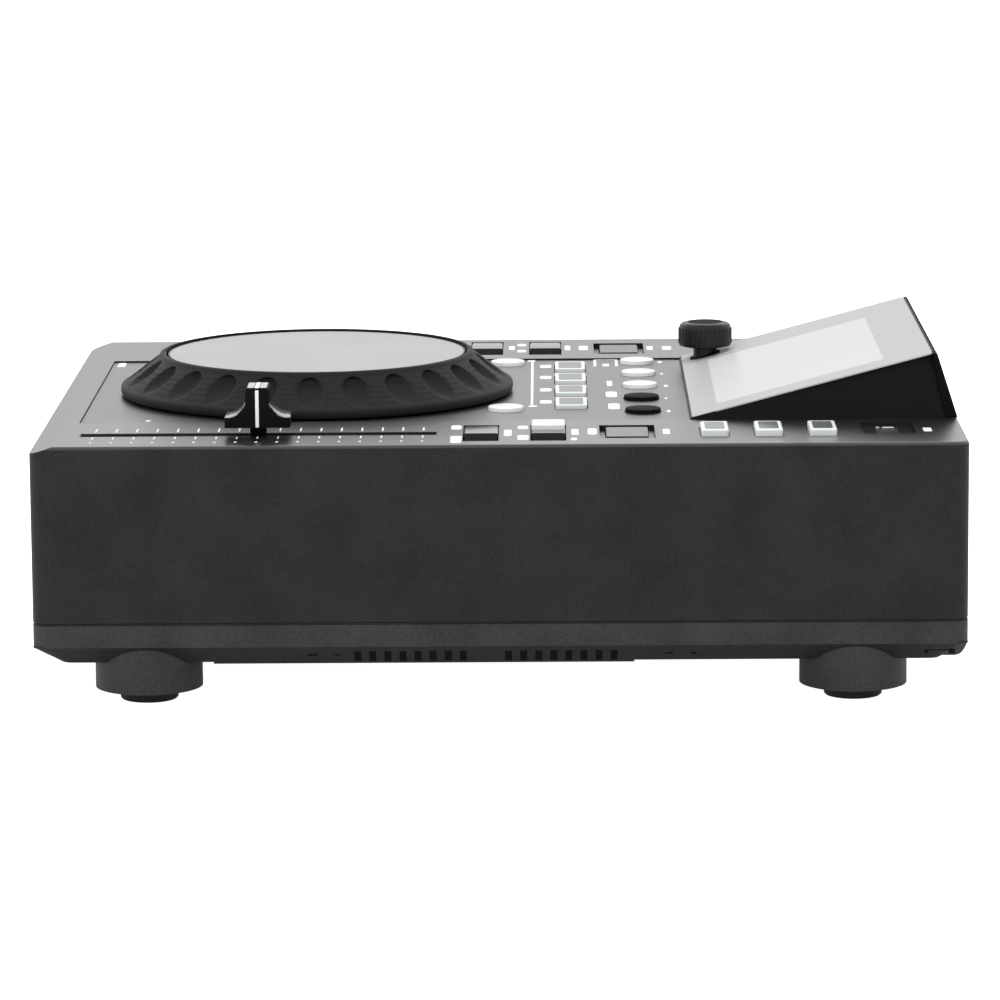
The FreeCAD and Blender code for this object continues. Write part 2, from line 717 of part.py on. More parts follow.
def make_display():
    """The tilted display: housing, lens, LCD module and its board."""
    body = new_body()
    side = sketch_on(body, "YZ_Plane")
    outline(side, [("display_front", "top_height - deck"), ("display_base", "top_height - deck"),
                   ("display_base", "top_height"),
                   ("display_back", "top_height + display_lip + tan(display_tilt) * "
                    "(display_back - display_front)"),
                   ("display_front", "top_height + display_lip")])
    wedge = pad_both_ways(body, side, "2 * display_half")
    for sign in ("", "-"):
        lean = sketch_on(body, "XZ_Plane")
        outline(lean, [(sign + "display_half", "top_height"),
                       (sign + "(display_half - display_lean)", "top_height + 20.6"),
                       (sign + "(display_half - display_lean)", "top_height + 24"),
                       (sign + "(display_half + 4)", "top_height + 24"),
                       (sign + "(display_half + 4)", "top_height")])
        trim = pocket(body, lean, "2 * case_length")
        trim.SideType = "Symmetric"
    lens_bed = slope_box("-lens_half - 0.1", "lens_margin - 0.1", "-lens_thick", "2 * lens_half + 0.2",
                         "display_length - 2 * lens_margin + 0.2", "lens_thick + 6")
    window = slope_box("lcd_x - lcd_view_width / 2 - 1", "lcd_front - 1", "-6", "lcd_view_width + 2",
                       "lcd_view_height + 2", "8")
    lcd_bed = slope_box("lcd_x - lcd_width / 2 - 0.3", "lcd_front - 5.8", "-20", "lcd_width + 0.6",
                        "lcd_height + 0.6", "20 - lens_thick - 2.7")
    hollow = new_body()
    inner = sketch_on(hollow, "YZ_Plane")
    outline(inner, [("display_front + 12", "top_height - deck - 1"),
                    ("display_base - wall", "top_height - deck - 1"), ("display_base - wall", "top_height"),
                    ("display_back - wall + 0.6", "top_height + tan(display_tilt) * "
                     "(display_back - display_front) - wall - 1.4"),
                    ("display_front + 12", "top_height + 12 * tan(display_tilt) - wall - 0.6")])
    pad_both_ways(hollow, inner, "2 * display_half - 2 * display_lean - 2 * wall")
    encoder_hole = rod("encoder_x", "encoder_y", "top_height - deck - 1", "encoder_shaft + 1.4", "30")
    keep(cut(body, lens_bed, window, lcd_bed, hollow, encoder_hole), "display_housing")

    lens = slope_box("-lens_half", "lens_margin", "-lens_thick", "2 * lens_half",
                     "display_length - 2 * lens_margin", "lens_thick")
    keep(cut(lens, rod("encoder_x", "encoder_y", "top_height - deck", "encoder_shaft + 1.4", "30")),
         "display_lens")
    keep(slope_box("lcd_x - lcd_width / 2", "lcd_front - 5.5", "-lens_thick - 2.7 - lcd_thick",
                   "lcd_width", "lcd_height", "lcd_thick"), "lcd_module")


def make_encoder():
    """The push encoder: a ribbed knob on a D shaft, over a square switch body."""
    knob = new_body()
    section = sketch_on(knob, "XZ_Plane")
    outline(section, [("encoder_shaft + 0.02", "encoder_low"), ("encoder_radius - 0.9", "encoder_low"),
                      ("encoder_radius", "encoder_low + 0.9"), ("encoder_radius", "encoder_top - 1.4"),
                      ("encoder_radius - 1.6", "encoder_top"), ("0", "encoder_top"),
                      ("0", "encoder_top - 2"), ("encoder_shaft + 0.02", "encoder_top - 2")])
    turned(knob, section)
    place(knob, "encoder_x", "encoder_y")
    keep(knob, "encoder_knob")
    keep(rod("encoder_x", "encoder_y", "72", "encoder_shaft", "encoder_top - 2.8 - 72"), "encoder_spindle")
    keep(cut(centred("encoder_x", "encoder_y", "12.4", "13.2", "68", "76"),
             rod("encoder_x", "encoder_y", "71", "encoder_shaft + 0.05", "10")), "encoder_switch")


def make_drive():
    """The slot-in disc drive under the wheel: frame, lid, turntable, clamp, roller, sled and its screw."""
    outer = block("-drive_half", "drive_half", "drive_front", "drive_back", "drive_low", "drive_high - 4")
    room = block("sheet_metal - drive_half", "drive_half - sheet_metal", "drive_front - 1",
                 "drive_back - sheet_metal", "drive_low + sheet_metal", "drive_high")
    well = rod("0", "disc_y", "drive_low - 1", "20", "4")
    sled_slot = block("-5", "5", "disc_y + 24", "disc_y + 62", "drive_low - 1", "drive_low + 3")
    ears = [centred(x, y, "10", "14", "pan_height + pan_floor", "drive_low")
            for x in ("drive_half - 5", "5 - drive_half") for y in ("drive_front + 20", "drive_back - 20")]
    stands = [centred(x, "drive_front + 12", "3", "8", "drive_low + 0.6", "mouth_low")
              for x in ("-drive_half + sheet_metal + 4", "drive_half - sheet_metal - 4")]
    roller_bore = rod("-72", "drive_front + 12", "mouth_low - 3.6", "1.55", "144", TURN_TO_X)
    rail_bar = block("-26", "26", "disc_y + 9", "disc_y + 12", "drive_low + 0.6", "drive_low + 8")
    tray = cut(outer, room, well, sled_slot)
    keep(fuse(tray, cut(fuse(*stands), roller_bore), rail_bar, *ears), "drive_frame")
    lid = block("-drive_half", "drive_half", "drive_front", "drive_back", "drive_high - 4",
                "drive_high - 4 + sheet_metal")
    holed_lid = cut(lid, rod("0", "disc_y", "drive_high - 6", "17", "6"))
    arm = cut(centred("0", "disc_y", "24", "40", "drive_high - 4.6", "drive_high - 3.6"),
              rod("0", "disc_y", "drive_high - 6", "6.4", "6"))
    keep(fuse(holed_lid, arm), "drive_lid")
    motor = fuse(rod("0", "disc_y", "drive_low - 8", "13", "6"),
                 centred("0", "disc_y", "34", "46", "drive_low - 2", "drive_low"))
    keep(cut(motor, rod("0", "disc_y", "drive_low - 1.8", "1.55", "3")), "spindle_motor")

    hub = new_body()
    section = sketch_on(hub, "XZ_Plane")
    outline(section, [("0", "drive_low - 1.4"), ("1.5", "drive_low - 1.4"), ("1.5", "mouth_low - 4"),
                      ("15", "mouth_low - 4"), ("15", "mouth_low - 1.6"), ("7.4", "mouth_low - 1.6"),
                      ("6", "mouth_low + 1.4"), ("0", "mouth_low + 1.4")])
    turned(hub, section)
    place(hub, "0", "disc_y")
    keep(hub, "turntable")
    clamp = fuse(rod("0", "disc_y", "mouth_high + 1", "14", "2.4"),
                 rod("0", "disc_y", "mouth_high + 3", "6", "drive_high - mouth_high - 6.2"),
                 rod("0", "disc_y", "drive_high - 3.4", "9", "1"))
    keep(clamp, "disc_clamp")

    rail_length = "drive_back - sheet_metal - disc_y - 12"
    rails = [rod(x, "disc_y + 12", "drive_low + 5", "1.5", rail_length, TURN_TO_Y) for x in ("-22", "22")]
    keep(group(*rails), "sled_rails")
    sled = cut(centred("0", "disc_y + 26", "52", "15", "drive_low + 2", "drive_low + 8"),
               rod("-22", "disc_y + 6", "drive_low + 5", "1.55", "50", TURN_TO_Y),
               rod("22", "disc_y + 6", "drive_low + 5", "1.55", "50", TURN_TO_Y),
               rod("13", "disc_y + 6", "drive_low + 5", "2.1", "50", TURN_TO_Y))
    keep(fuse(sled, rod("0", "disc_y + 26", "drive_low + 7.5", "3.6", "2.4")), "laser_sled")
    keep(rod("13", "disc_y + 12.2", "drive_low + 5", "1.9", "60", TURN_TO_Y), "sled_screw")
    rubber = rod("-60", "drive_front + 12", "mouth_low - 3.6", "3.4", "120", TURN_TO_X)
    axle = rod("-70", "drive_front + 12", "mouth_low - 3.6", "1.5", "140", TURN_TO_X)
    keep(fuse(rubber, axle), "feed_roller")


def make_mouth():
    """The frame round the disc slot in the front wall."""
    ring = block("-mouth_half", "mouth_half", "-case_length / 2", "drive_front",
                 "mouth_low", "mouth_high")
    hole = block("1.2 - mouth_half", "mouth_half - 1.2", "-case_length / 2 - 2", "drive_front + 1",
                 "mouth_low + 0.6", "mouth_high - 0.6")
    keep(cut(ring, hole), "disc_slot_frame")


def make_electronics():
    """Circuit boards, the power supply and the connectors on the rear panel."""
    board = block("-100", "16", "18", "126", "pan_height + pan_floor + 6",
                  "pan_height + pan_floor + 7.6")
    chips = [centred(x, y, size, size, "pan_height + pan_floor + 7.6", "pan_height + pan_floor + 9.2")
             for x, y, size in (("-60", "60", "24"), ("-24", "76", "16"), ("-70", "96", "12"))]
    caps = [rod(x, "40", "pan_height + pan_floor + 7.6", "4", "11") for x in ("-20", "-8", "4")]
    keep(fuse(board, *chips, *caps), "main_board")
    supply = block("30", "100", "16", "120", "pan_height + pan_floor + 5",
                   "pan_height + pan_floor + 6.6")
    supply_legs = [centred(x, y, "6", "6", "pan_height + pan_floor", "pan_height + pan_floor + 5")
                   for x in ("34", "96") for y in ("20", "116")]
    core = centred("66", "60", "36", "32", "pan_height + pan_floor + 6.6", "pan_height + pan_floor + 34")
    cans = [rod(x, "94", "pan_height + pan_floor + 6.6", "8", "26") for x in ("50", "72")]
    keep(fuse(supply, core, *supply_legs, *cans), "power_supply")

    low, high = "board_top - board_thick", "board_top"
    boards = [block("1 - recess_half", "recess_half - 1", "-6", "54", low, high),
              block("82", "104", "-10", "110", "71.8 - board_thick", "71.8"),
              block("-108", "-75", "-96", "60", "71.8 - board_thick", "71.8"),
              block("-66", "62", "60", "128", "66.4", "68")]
    tops = [(x, y, "board_top", "73.6") for x, y in LIT_BUTTONS.values()]
    tops += [(x, MODE_Y, "board_top", "73.6") for x in MODE_X]
    tops += [(x, HOT_CUE_Y, "board_top", "73.6") for x in HOT_CUE_X]
    tops += [("strip_x", y, "71.8", "75.6") for y in DECK_KEYS_Y]
    tops += [("-strip_x", y, "71.8", "75.6") for y in TRANSPORT_Y.values()]
    switches = [centred(x, y, "6", "6", z0, z1) for x, y, z0, z1 in tops]
    keep(fuse(*boards, *switches), "control_boards")

    plate = block("-rear_half - 4", "rear_half + 4", "case_length / 2 - wall - rear_thick",
                  "case_length / 2 - wall", "rear_low - 4", "rear_high + 4")
    holes = [rod(x, "case_length / 2 - 8", z, "4.6", "12", TURN_TO_Y)
             for x, z in (("-84", "41"), ("-84", "55"), ("-64", "48"))]
    square = centred("-36", "case_length / 2 - 3", "12.4", "8", "42", "54")
    jack = rod("-10", "case_length / 2 - 8", "48", "3.2", "12", TURN_TO_Y)
    inlet = block("switch_x - 7", "87.6", "case_length / 2 - 7", "case_length / 2 + 1", "38.2", "57.8")
    keep(cut(plate, *holes, square, jack, inlet), "rear_panel")
    jacks = []
    for x, z in (("-84", "41"), ("-84", "55"), ("-64", "48")):
        shell = fuse(rod(x, "case_length / 2 - 16", z, "4.2", "15.8", TURN_TO_Y),
                     centred(x, "case_length / 2 - 12", "10", "14", z + " - 6", z + " + 6"))
        jacks.append(cut(shell, rod(x, "case_length / 2 - 9", z, "1.6", "16", TURN_TO_Y)))
    usb_b = cut(centred("-36", "case_length / 2 - 11", "12", "16", "42.4", "53.6"),
                centred("-36", "case_length / 2 - 8", "8.6", "12.4", "44", "52"))
    tongue = centred("-36", "case_length / 2 - 14", "5.6", "12", "46.6", "49.4")
    mini = cut(fuse(rod("-10", "case_length / 2 - 14", "48", "3", "12", TURN_TO_Y),
                    centred("-10", "case_length / 2 - 12", "9", "12", "43.5", "52.5")),
               rod("-10", "case_length / 2 - 13", "48", "1.8", "14", TURN_TO_Y))
    keep(group(*jacks, fuse(usb_b, tongue), mini), "rear_sockets")
    body = cut(centred("74", "case_length / 2 - 14", "27", "26", "38.4", "57.6"),
               centred("74", "case_length / 2 - 8", "24.4", "18", "40", "56"))
    blades = [centred(x, "case_length / 2 - 14", "2", "14", z, z + " + 4")
              for x, z in (("67", "45"), ("74", "49"), ("81", "45"))]
    frame = cut(centred("switch_x", "case_length / 2 - 9", "14", "16", "38.4", "57.6"),
                centred("switch_x", "case_length / 2 - 5", "9.6", "11", "39.2", "56.8"))
    keep(fuse(body, frame, *blades), "power_inlet")

    key = new_body()
    side = sketch_on(key, "YZ_Plane")
    outline(side, [("-4.4", "-7.1"), ("1.2", "-7.1"), ("-0.4", "0"), ("1.2", "7.1"), ("-4.4", "7.1"),
                   ("-6.4", "0")])
    pad_both_ways(key, side, "9")
    place(key, "switch_x", "case_length / 2 - 2", "48")
    keep(key, "power_switch")


def make_top_port():
    """The USB socket in its shallow recess on the deck."""
    shell = cut(centred("usb_x", "usb_y", "15", "7", "top_height - 14", "top_height - 1.2"),
                centred("usb_x", "usb_y", "13.2", "5.4", "top_height - 12", "top_height"))
    tongue = centred("usb_x", "usb_y + 1.6", "11", "1.6", "top_height - 13", "top_height - 7.5")
    keep(fuse(shell, tongue), "usb_socket")


def make_fixings():
    """The screws that hold the pan to the housing, driven up from below."""
    screws = []
    for x, y in screw_places():
        shank = rod(x, y, "pan_height + 0.6", "screw_radius", "screw_length")
        head = rod(x, y, "pan_height + 0.2", "screw_head", "1.8")
        across = centred(x, y, "3.6", "0.7", "pan_height", "pan_height + 1.2")
        along = centred(x, y, "0.7", "3.6", "pan_height", "pan_height + 1.2")
        screws.append(cut(fuse(head, shank), across, along))
    keep(group(*screws), "case_screws")


def check_and_write():
    doc.recompute()
    failed = [item.Name for item in doc.Objects if "Invalid" in item.State or "Error" in item.State]
    if failed:
        raise RuntimeError("These did not build: " + ", ".join(failed))
    os.makedirs("parts", exist_ok=True)
    for item in PARTS:
        shape = item.Shape
        if shape.isNull() or not shape.isValid():
            raise RuntimeError("%s has no valid shape" % item.Label)
        shape.exportStep("parts/%s.step" % item.Label)
        print("%-20s solids %2d  volume %9.1f" % (item.Label, len(shape.Solids), shape.Volume))


fill_sheet()
make_upper_housing()
make_lower_case()
make_feet()
make_control_panel()
make_keys()
make_jog()
make_jog_support()
make_fader()
make_display()
make_encoder()
make_drive()
make_mouth()
make_electronics()
make_top_port()
make_fixings()
check_and_write()
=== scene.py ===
import json
import math

import bmesh
import bpy
from mathutils import Matrix, Vector


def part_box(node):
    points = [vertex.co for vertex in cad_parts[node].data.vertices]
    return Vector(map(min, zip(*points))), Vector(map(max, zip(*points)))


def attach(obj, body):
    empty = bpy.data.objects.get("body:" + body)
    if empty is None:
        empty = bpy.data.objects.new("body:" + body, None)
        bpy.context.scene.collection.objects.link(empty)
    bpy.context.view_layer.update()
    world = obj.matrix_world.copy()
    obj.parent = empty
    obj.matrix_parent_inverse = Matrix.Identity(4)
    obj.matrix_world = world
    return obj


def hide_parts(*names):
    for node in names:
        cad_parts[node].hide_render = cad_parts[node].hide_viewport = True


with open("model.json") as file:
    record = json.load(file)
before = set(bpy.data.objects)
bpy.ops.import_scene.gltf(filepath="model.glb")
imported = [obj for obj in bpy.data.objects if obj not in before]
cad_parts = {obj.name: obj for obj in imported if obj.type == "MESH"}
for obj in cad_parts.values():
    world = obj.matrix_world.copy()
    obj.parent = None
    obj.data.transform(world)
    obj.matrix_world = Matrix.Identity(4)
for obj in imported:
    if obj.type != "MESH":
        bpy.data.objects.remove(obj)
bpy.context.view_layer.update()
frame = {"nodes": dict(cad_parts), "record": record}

bl_info = {
    "name": "Tabletop disc player finish",
    "version": (1, 0, 0),
    "blender": (4, 5, 0),
    "location": "3D View > Sidebar > Disc Player",
    "description": "Dresses the disc player's frame with its finishes, prints, keys and small parts",
    "category": "Object",
}

MM = 0.001
NODES = frame["nodes"]
BODY_OF = {node: body for body, nodes in frame["record"]["behaviour"]["bodies"].items() for node in nodes}

# Places read from the frame

CASE_LOW, CASE_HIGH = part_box("upper_housing")
DECK_Z = CASE_HIGH.z
CAD_PANEL_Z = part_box("control_panel")[1].z
PANEL_Z = DECK_Z - 0.5 * MM

# The display's slope, its front edge's height and its screen's middle and half size

TILT = math.radians(14.8)
DISPLAY_FOOT_Z = 81.4 * MM
SCREEN_X, SCREEN_Y = 5.5 * MM, 94.06 * MM
SCREEN_HALF_X, SCREEN_HALF_Y = 47.5 * MM, 26.05 * MM
SCREEN_BLUR = 0.15 * MM


def middle(node):
    low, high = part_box(node)
    return (low + high) / 2


# Settings that a user would change


def colour_setting(name, description, value):
    return bpy.props.FloatVectorProperty(
        name=name, description=description, subtype="COLOR", size=3, min=0, max=1, default=value)


def length_setting(name, description, value, least, most):
    return bpy.props.FloatProperty(
        name=name, description=description, default=value, min=least, max=most, unit="LENGTH")


class FinishSettings(bpy.types.PropertyGroup):
    """Colours of the finishes."""
    case_colour: colour_setting("Case", "Charcoal moulded case", (0.0092, 0.0092, 0.0096))
    deck_colour: colour_setting("Deck", "Satin black upper faces", (0.012, 0.012, 0.012))
    rubber_colour: colour_setting("Rubber", "Jog wheel grip and foot pads", (0.0065, 0.0065, 0.0068))
    plate_colour: colour_setting("Jog plate", "Silver touch plate of the jog wheel", (0.47, 0.47, 0.47))
    print_colour: colour_setting("Print", "White printed marks", (0.86, 0.86, 0.87))


class SizeSettings(bpy.types.PropertyGroup):
    """Sizes of the added details."""
    grip_lobes: bpy.props.IntProperty(
        name="Grip lobes", description="Lobes round the jog wheel's rubber grip", default=24, min=8, max=60)
    lobe_depth: length_setting("Lobe depth", "How far the scallops cut into the grip", 3.0 * MM, 0, 6 * MM)
    tick_pitch: length_setting(
        "Tick pitch", "Distance between marks beside the pitch fader", 6.31 * MM, 2 * MM, 12 * MM)
    tick_count: bpy.props.IntProperty(
        name="Ticks", description="Marks on each side of the fader slot", default=17, min=3, max=33)
    knob_ribs: bpy.props.IntProperty(
        name="Knob ribs", description="Ribs round the encoder knob", default=36, min=12, max=72)
    print_height: length_setting("Print height", "Thickness of the printed ink", 0.06 * MM, 0.02 * MM, 0.3 * MM)


# Shared shader groups


def socket(group, name, kind, out=False, default=None):
    made = group.interface.new_socket(name=name, in_out="OUTPUT" if out else "INPUT", socket_type=kind)
    if default is not None:
        made.default_value = default
    return made


def grain_group():
    """Moulded grain: a fine height, and a mottling that is partly slow and partly as fine as the grain."""
    if "Moulded grain" in bpy.data.node_groups:
        return bpy.data.node_groups["Moulded grain"]
    group = bpy.data.node_groups.new("Moulded grain", "ShaderNodeTree")
    socket(group, "Grain per metre", "NodeSocketFloat", default=2200.0)
    socket(group, "Mottle per metre", "NodeSocketFloat", default=60.0)
    socket(group, "Height", "NodeSocketFloat", out=True)
    socket(group, "Mottle", "NodeSocketFloat", out=True)
    nodes, links = group.nodes, group.links
    entry = nodes.new("NodeGroupInput")
    leave = nodes.new("NodeGroupOutput")
    place = nodes.new("ShaderNodeTexCoord")
    fine = nodes.new("ShaderNodeTexNoise")
    fine.inputs["Detail"].default_value = 3.0
    fine.inputs["Roughness"].default_value = 0.7
    slow = nodes.new("ShaderNodeTexNoise")
    slow.inputs["Detail"].default_value = 4.0
    links.new(place.outputs["Object"], fine.inputs["Vector"])
    links.new(place.outputs["Object"], slow.inputs["Vector"])
    links.new(entry.outputs["Grain per metre"], fine.inputs["Scale"])
    links.new(entry.outputs["Mottle per metre"], slow.inputs["Scale"])
    links.new(fine.outputs["Fac"], leave.inputs["Height"])
    links.new(mixed(nodes, links, 0.55, slow.outputs["Fac"], fine.outputs["Fac"]), leave.inputs["Mottle"])
    return group


def mixed(nodes, links, factor, first, second, kind="FLOAT"):
    """A mix of two values or colours. Each argument is a socket or a constant."""
    mix = nodes.new("ShaderNodeMix")
    mix.data_type = kind
    for name, value in (("Factor", factor), ("A", first), ("B", second)):
        if isinstance(value, bpy.types.NodeSocket):
            links.new(value, mix.inputs[name])
        else:
            mix.inputs[name].default_value = value
    return mix.outputs["Result"]


def blend_colour(nodes, links, factor, dark, light):
    return mixed(nodes, links, factor, (*dark, 1), (*light, 1), "RGBA")


def calculated(nodes, links, operation, *values):
    node = nodes.new("ShaderNodeMath")
    node.operation = operation
    for value, entry in zip(values, node.inputs):
        links.new(value, entry)
    return node.outputs["Value"]


def blend_number(nodes, links, factor, low, high, from_low=0.3, from_high=0.7):
    spread = nodes.new("ShaderNodeMapRange")
    spread.inputs["From Min"].default_value = from_low
    spread.inputs["From Max"].default_value = from_high
    spread.inputs["To Min"].default_value = low
    spread.inputs["To Max"].default_value = high
    links.new(factor, spread.inputs["Value"])
    return spread.outputs["Result"]


def new_material(name):
    material = bpy.data.materials.new(name)
    material.use_nodes = True
    tree = material.node_tree
    return material, tree.nodes, tree.links, tree.nodes["Principled BSDF"]


def add_bump(nodes, links, shader, height, strength, distance):
    bump = nodes.new("ShaderNodeBump")
    bump.inputs["Strength"].default_value = strength
    bump.inputs["Distance"].default_value = distance
    links.new(height, bump.inputs["Height"])
    links.new(bump.outputs["Normal"], shader.inputs["Normal"])


def grained(name, colour, roughness=(0.45, 0.6), grain=2200.0, depth=0.02, spread=0.25, **plain):
    """A plastic or rubber with a fine grain, whose colour and gloss vary a little."""
    material, nodes, links, shader = new_material(name)
    effect = nodes.new("ShaderNodeGroup")
    effect.node_tree = grain_group()
    effect.inputs["Grain per metre"].default_value = grain
    dark = tuple(c * (1 - spread) for c in colour)
    light = tuple(min(1.0, c * (1 + spread)) for c in colour)
    contrast = blend_number(nodes, links, effect.outputs["Mottle"], 0.0, 1.0, 0.38, 0.62)
    links.new(blend_colour(nodes, links, contrast, dark, light), shader.inputs["Base Color"])
    links.new(blend_number(nodes, links, effect.outputs["Mottle"], *roughness), shader.inputs["Roughness"])
    add_bump(nodes, links, shader, effect.outputs["Height"], 1.0, depth * MM)
    for key, value in plain.items():
        shader.inputs[key.replace("_", " ")].default_value = value
    return material


def housing_finish(settings):
    """Charcoal grain on the walls, and a smoother, coated satin black on the faces and edges that look up."""
    material = grained("housing_plastic", settings.case_colour, (0.5, 0.62), 1100.0, 0.12, 0.6,
                       Specular_IOR_Level=0.26, Coat_Roughness=0.3, Coat_IOR=1.8)
    nodes, links = material.node_tree.nodes, material.node_tree.links
    shader = nodes["Principled BSDF"]
    place = nodes.new("ShaderNodeTexCoord")
    split = nodes.new("ShaderNodeSeparateXYZ")
    links.new(place.outputs["Normal"], split.inputs["Vector"])
    upward = blend_number(nodes, links, split.outputs["Z"], 0.0, 1.0, 0.8, 0.97)
    for name, deck, kind in (("Base Color", (*settings.deck_colour, 1), "RGBA"), ("Roughness", 0.38, "FLOAT")):
        wall = shader.inputs[name].links[0].from_socket
        links.new(mixed(nodes, links, upward, wall, deck, kind), shader.inputs[name])
    coat = blend_number(nodes, links, split.outputs["Z"], 0.0, 0.85, 0.1, 0.45)
    links.new(coat, shader.inputs["Coat Weight"])
    bump = [node for node in nodes if node.type == "BUMP"][0]
    height = bump.inputs["Height"].links[0].from_socket
    fade = blend_number(nodes, links, upward, 1.0, 0.06, 0.0, 1.0)
    links.new(calculated(nodes, links, "MULTIPLY", height, fade), bump.inputs["Height"])
    return material


def plate_finish(settings):
    """Silver plate with fine circular brushing."""
    material, nodes, links, shader = new_material("jog_plate_silver")
    place = nodes.new("ShaderNodeTexCoord")
    centre = nodes.new("ShaderNodeMapping")
    wheel = middle("jog_plate")
    centre.inputs["Location"].default_value = (-wheel.x, -wheel.y, -wheel.z)
    rings = nodes.new("ShaderNodeTexWave")
    rings.wave_type = "RINGS"
    rings.rings_direction = "Z"
    rings.inputs["Scale"].default_value = 900.0
    rings.inputs["Distortion"].default_value = 1.5
    rings.inputs["Detail"].default_value = 3.0
    noise = nodes.new("ShaderNodeTexNoise")
    noise.inputs["Scale"].default_value = 30.0
    links.new(place.outputs["Object"], centre.inputs["Vector"])
    links.new(centre.outputs["Vector"], rings.inputs["Vector"])
    links.new(centre.outputs["Vector"], noise.inputs["Vector"])
    dark = tuple(c * 0.86 for c in settings.plate_colour)
    light = tuple(min(1.0, c * 0.97) for c in settings.plate_colour)
    links.new(blend_colour(nodes, links, rings.outputs["Fac"], dark, light), shader.inputs["Base Color"])
    links.new(blend_number(nodes, links, noise.outputs["Fac"], 0.42, 0.52), shader.inputs["Roughness"])
    add_bump(nodes, links, shader, rings.outputs["Fac"], 0.4, 0.004 * MM)
    shader.inputs["Metallic"].default_value = 0.55
    return material


def lens_finish():
    """The hard-coated display cover: a grey rim round a paler, switched-on and empty screen; both greys are painted
    reflection of the white room on the black glass, and the screen's faint glow is its own light.
    """
    material, nodes, links, shader = new_material("display_cover")
    place = nodes.new("ShaderNodeTexCoord")
    centre = nodes.new("ShaderNodeMapping")
    centre.inputs["Location"].default_value = (-SCREEN_X, -SCREEN_Y, 0)
    split = nodes.new("ShaderNodeSeparateXYZ")
    links.new(place.outputs["Object"], centre.inputs["Vector"])
    links.new(centre.outputs["Vector"], split.inputs["Vector"])
    within = []
    for axis, half in (("X", SCREEN_HALF_X), ("Y", SCREEN_HALF_Y)):
        size = calculated(nodes, links, "ABSOLUTE", split.outputs[axis])
        within.append(blend_number(nodes, links, size, 1.0, 0.0, half - SCREEN_BLUR, half + SCREEN_BLUR))
    inside = calculated(nodes, links, "MULTIPLY", *within)
    noise = nodes.new("ShaderNodeTexNoise")
    noise.inputs["Scale"].default_value = 25.0
    links.new(centre.outputs["Vector"], noise.inputs["Vector"])
    # Painted reflection: these greys stand in for the white room mirrored in the cover's black glass, paler over
    # the screen.
    painted_reflection_border = blend_colour(nodes, links, noise.outputs["Fac"], (0.43, 0.425, 0.425), (0.47, 0.465, 0.465))
    screen = blend_colour(nodes, links, noise.outputs["Fac"], (0.53, 0.54, 0.54), (0.56, 0.57, 0.57))
    links.new(mixed(nodes, links, inside, painted_reflection_border, screen, "RGBA"), shader.inputs["Base Color"])
    glow = blend_colour(nodes, links, inside, (0, 0, 0), (0.04, 0.043, 0.043))
    links.new(glow, shader.inputs["Emission Color"])
    shader.inputs["Emission Strength"].default_value = 1.0
    links.new(blend_number(nodes, links, noise.outputs["Fac"], 0.25, 0.32), shader.inputs["Roughness"])
    shader.inputs["Specular IOR Level"].default_value = 0.03
    return material


def make_materials():
    settings = bpy.context.scene.player_finish
    key_white = grained("key_white", (0.80, 0.81, 0.81), (0.28, 0.36), 1800.0, 0.006, 0.04,
                        Subsurface_Weight=0.1)
    made = {
        "case": housing_finish(settings),
        "panel": grained("panel_black", settings.deck_colour, (0.36, 0.44), 2600.0, 0.002, 0.12,
                         Coat_Weight=0.7, Coat_Roughness=0.32, Coat_IOR=1.8),
        "display_case": grained("display_case_black", (0.004, 0.004, 0.004), (0.4, 0.5), 1800.0, 0.02, 0.25,
                                Specular_IOR_Level=0.14),
        "rubber": grained("rubber_black", settings.rubber_colour, (0.5, 0.66), 900.0, 0.06, 0.5,
                          Specular_IOR_Level=0.3),
        "foot": grained("foot_plastic", (0.021, 0.021, 0.0215), (0.5, 0.62), 1100.0, 0.12, 0.5,
                        Specular_IOR_Level=0.35),
        "key_black": grained("key_black", (0.006, 0.006, 0.0062), (0.26, 0.36), 2200.0, 0.008, 0.2,
                             Specular_IOR_Level=0.4),
        "key_white": key_white,
        "key_gloss": grained("key_gloss_black", (0.008, 0.008, 0.008), (0.2, 0.28), 2200.0, 0.004, 0.15,
                             Coat_Weight=0.8, Coat_Roughness=0.2, Coat_IOR=1.9),
        "key_matt": grained("key_matt_black", (0.004, 0.004, 0.004), (0.6, 0.7), 2000.0, 0.01, 0.2,
                            Specular_IOR_Level=0.08),
        "key_smoke": grained("key_smoke", (0.16, 0.165, 0.165), (0.12, 0.2), 1800.0, 0.003, 0.1),
        "plate": plate_finish(settings),
        "lens": lens_finish(),
        "steel": grained("plated_steel", (0.50, 0.50, 0.51), (0.28, 0.42), 500.0, 0.006, 0.08, Metallic=1.0),
        "dark_steel": grained("painted_steel", (0.018, 0.018, 0.019), (0.4, 0.52), 1200.0, 0.02, 0.2),
        "board": grained("circuit_board", (0.02, 0.12, 0.05), (0.3, 0.45), 400.0, 0.03, 0.4),
        "print": grained("white_print", settings.print_colour, (0.4, 0.5), 3000.0, 0.004, 0.03),
        "socket": grained("socket_black", (0.015, 0.015, 0.015), (0.35, 0.45), 2000.0, 0.01, 0.2),
        "red_ring": grained("socket_red", (0.45, 0.02, 0.02), (0.35, 0.45), 2000.0, 0.01, 0.1),
        "white_ring": grained("socket_white", (0.75, 0.75, 0.74), (0.35, 0.45), 2000.0, 0.01, 0.05),
        "pale_grey": grained("pale_grey_plastic", (0.45, 0.45, 0.45), (0.25, 0.35), 2000.0, 0.006, 0.06),
        # Near-black for the dark plates in the pan's slots and vents and along the fader slot: painted shade and
        # painted shadow.
        "groove": grained("slot_shadow", (0.003, 0.003, 0.003), (0.6, 0.7), 2000.0, 0.01, 0.1,
                          Specular_IOR_Level=0.04),
        # A darker, duller copy of the pan's plastic for its downward-facing faces: painted shade.
        "slope": grained("pan_underside_painted_shade", (0.012, 0.012, 0.0123), (0.5, 0.62), 1100.0, 0.12, 0.5,
                         Specular_IOR_Level=0.14),
    }
    return made


# Mesh helpers


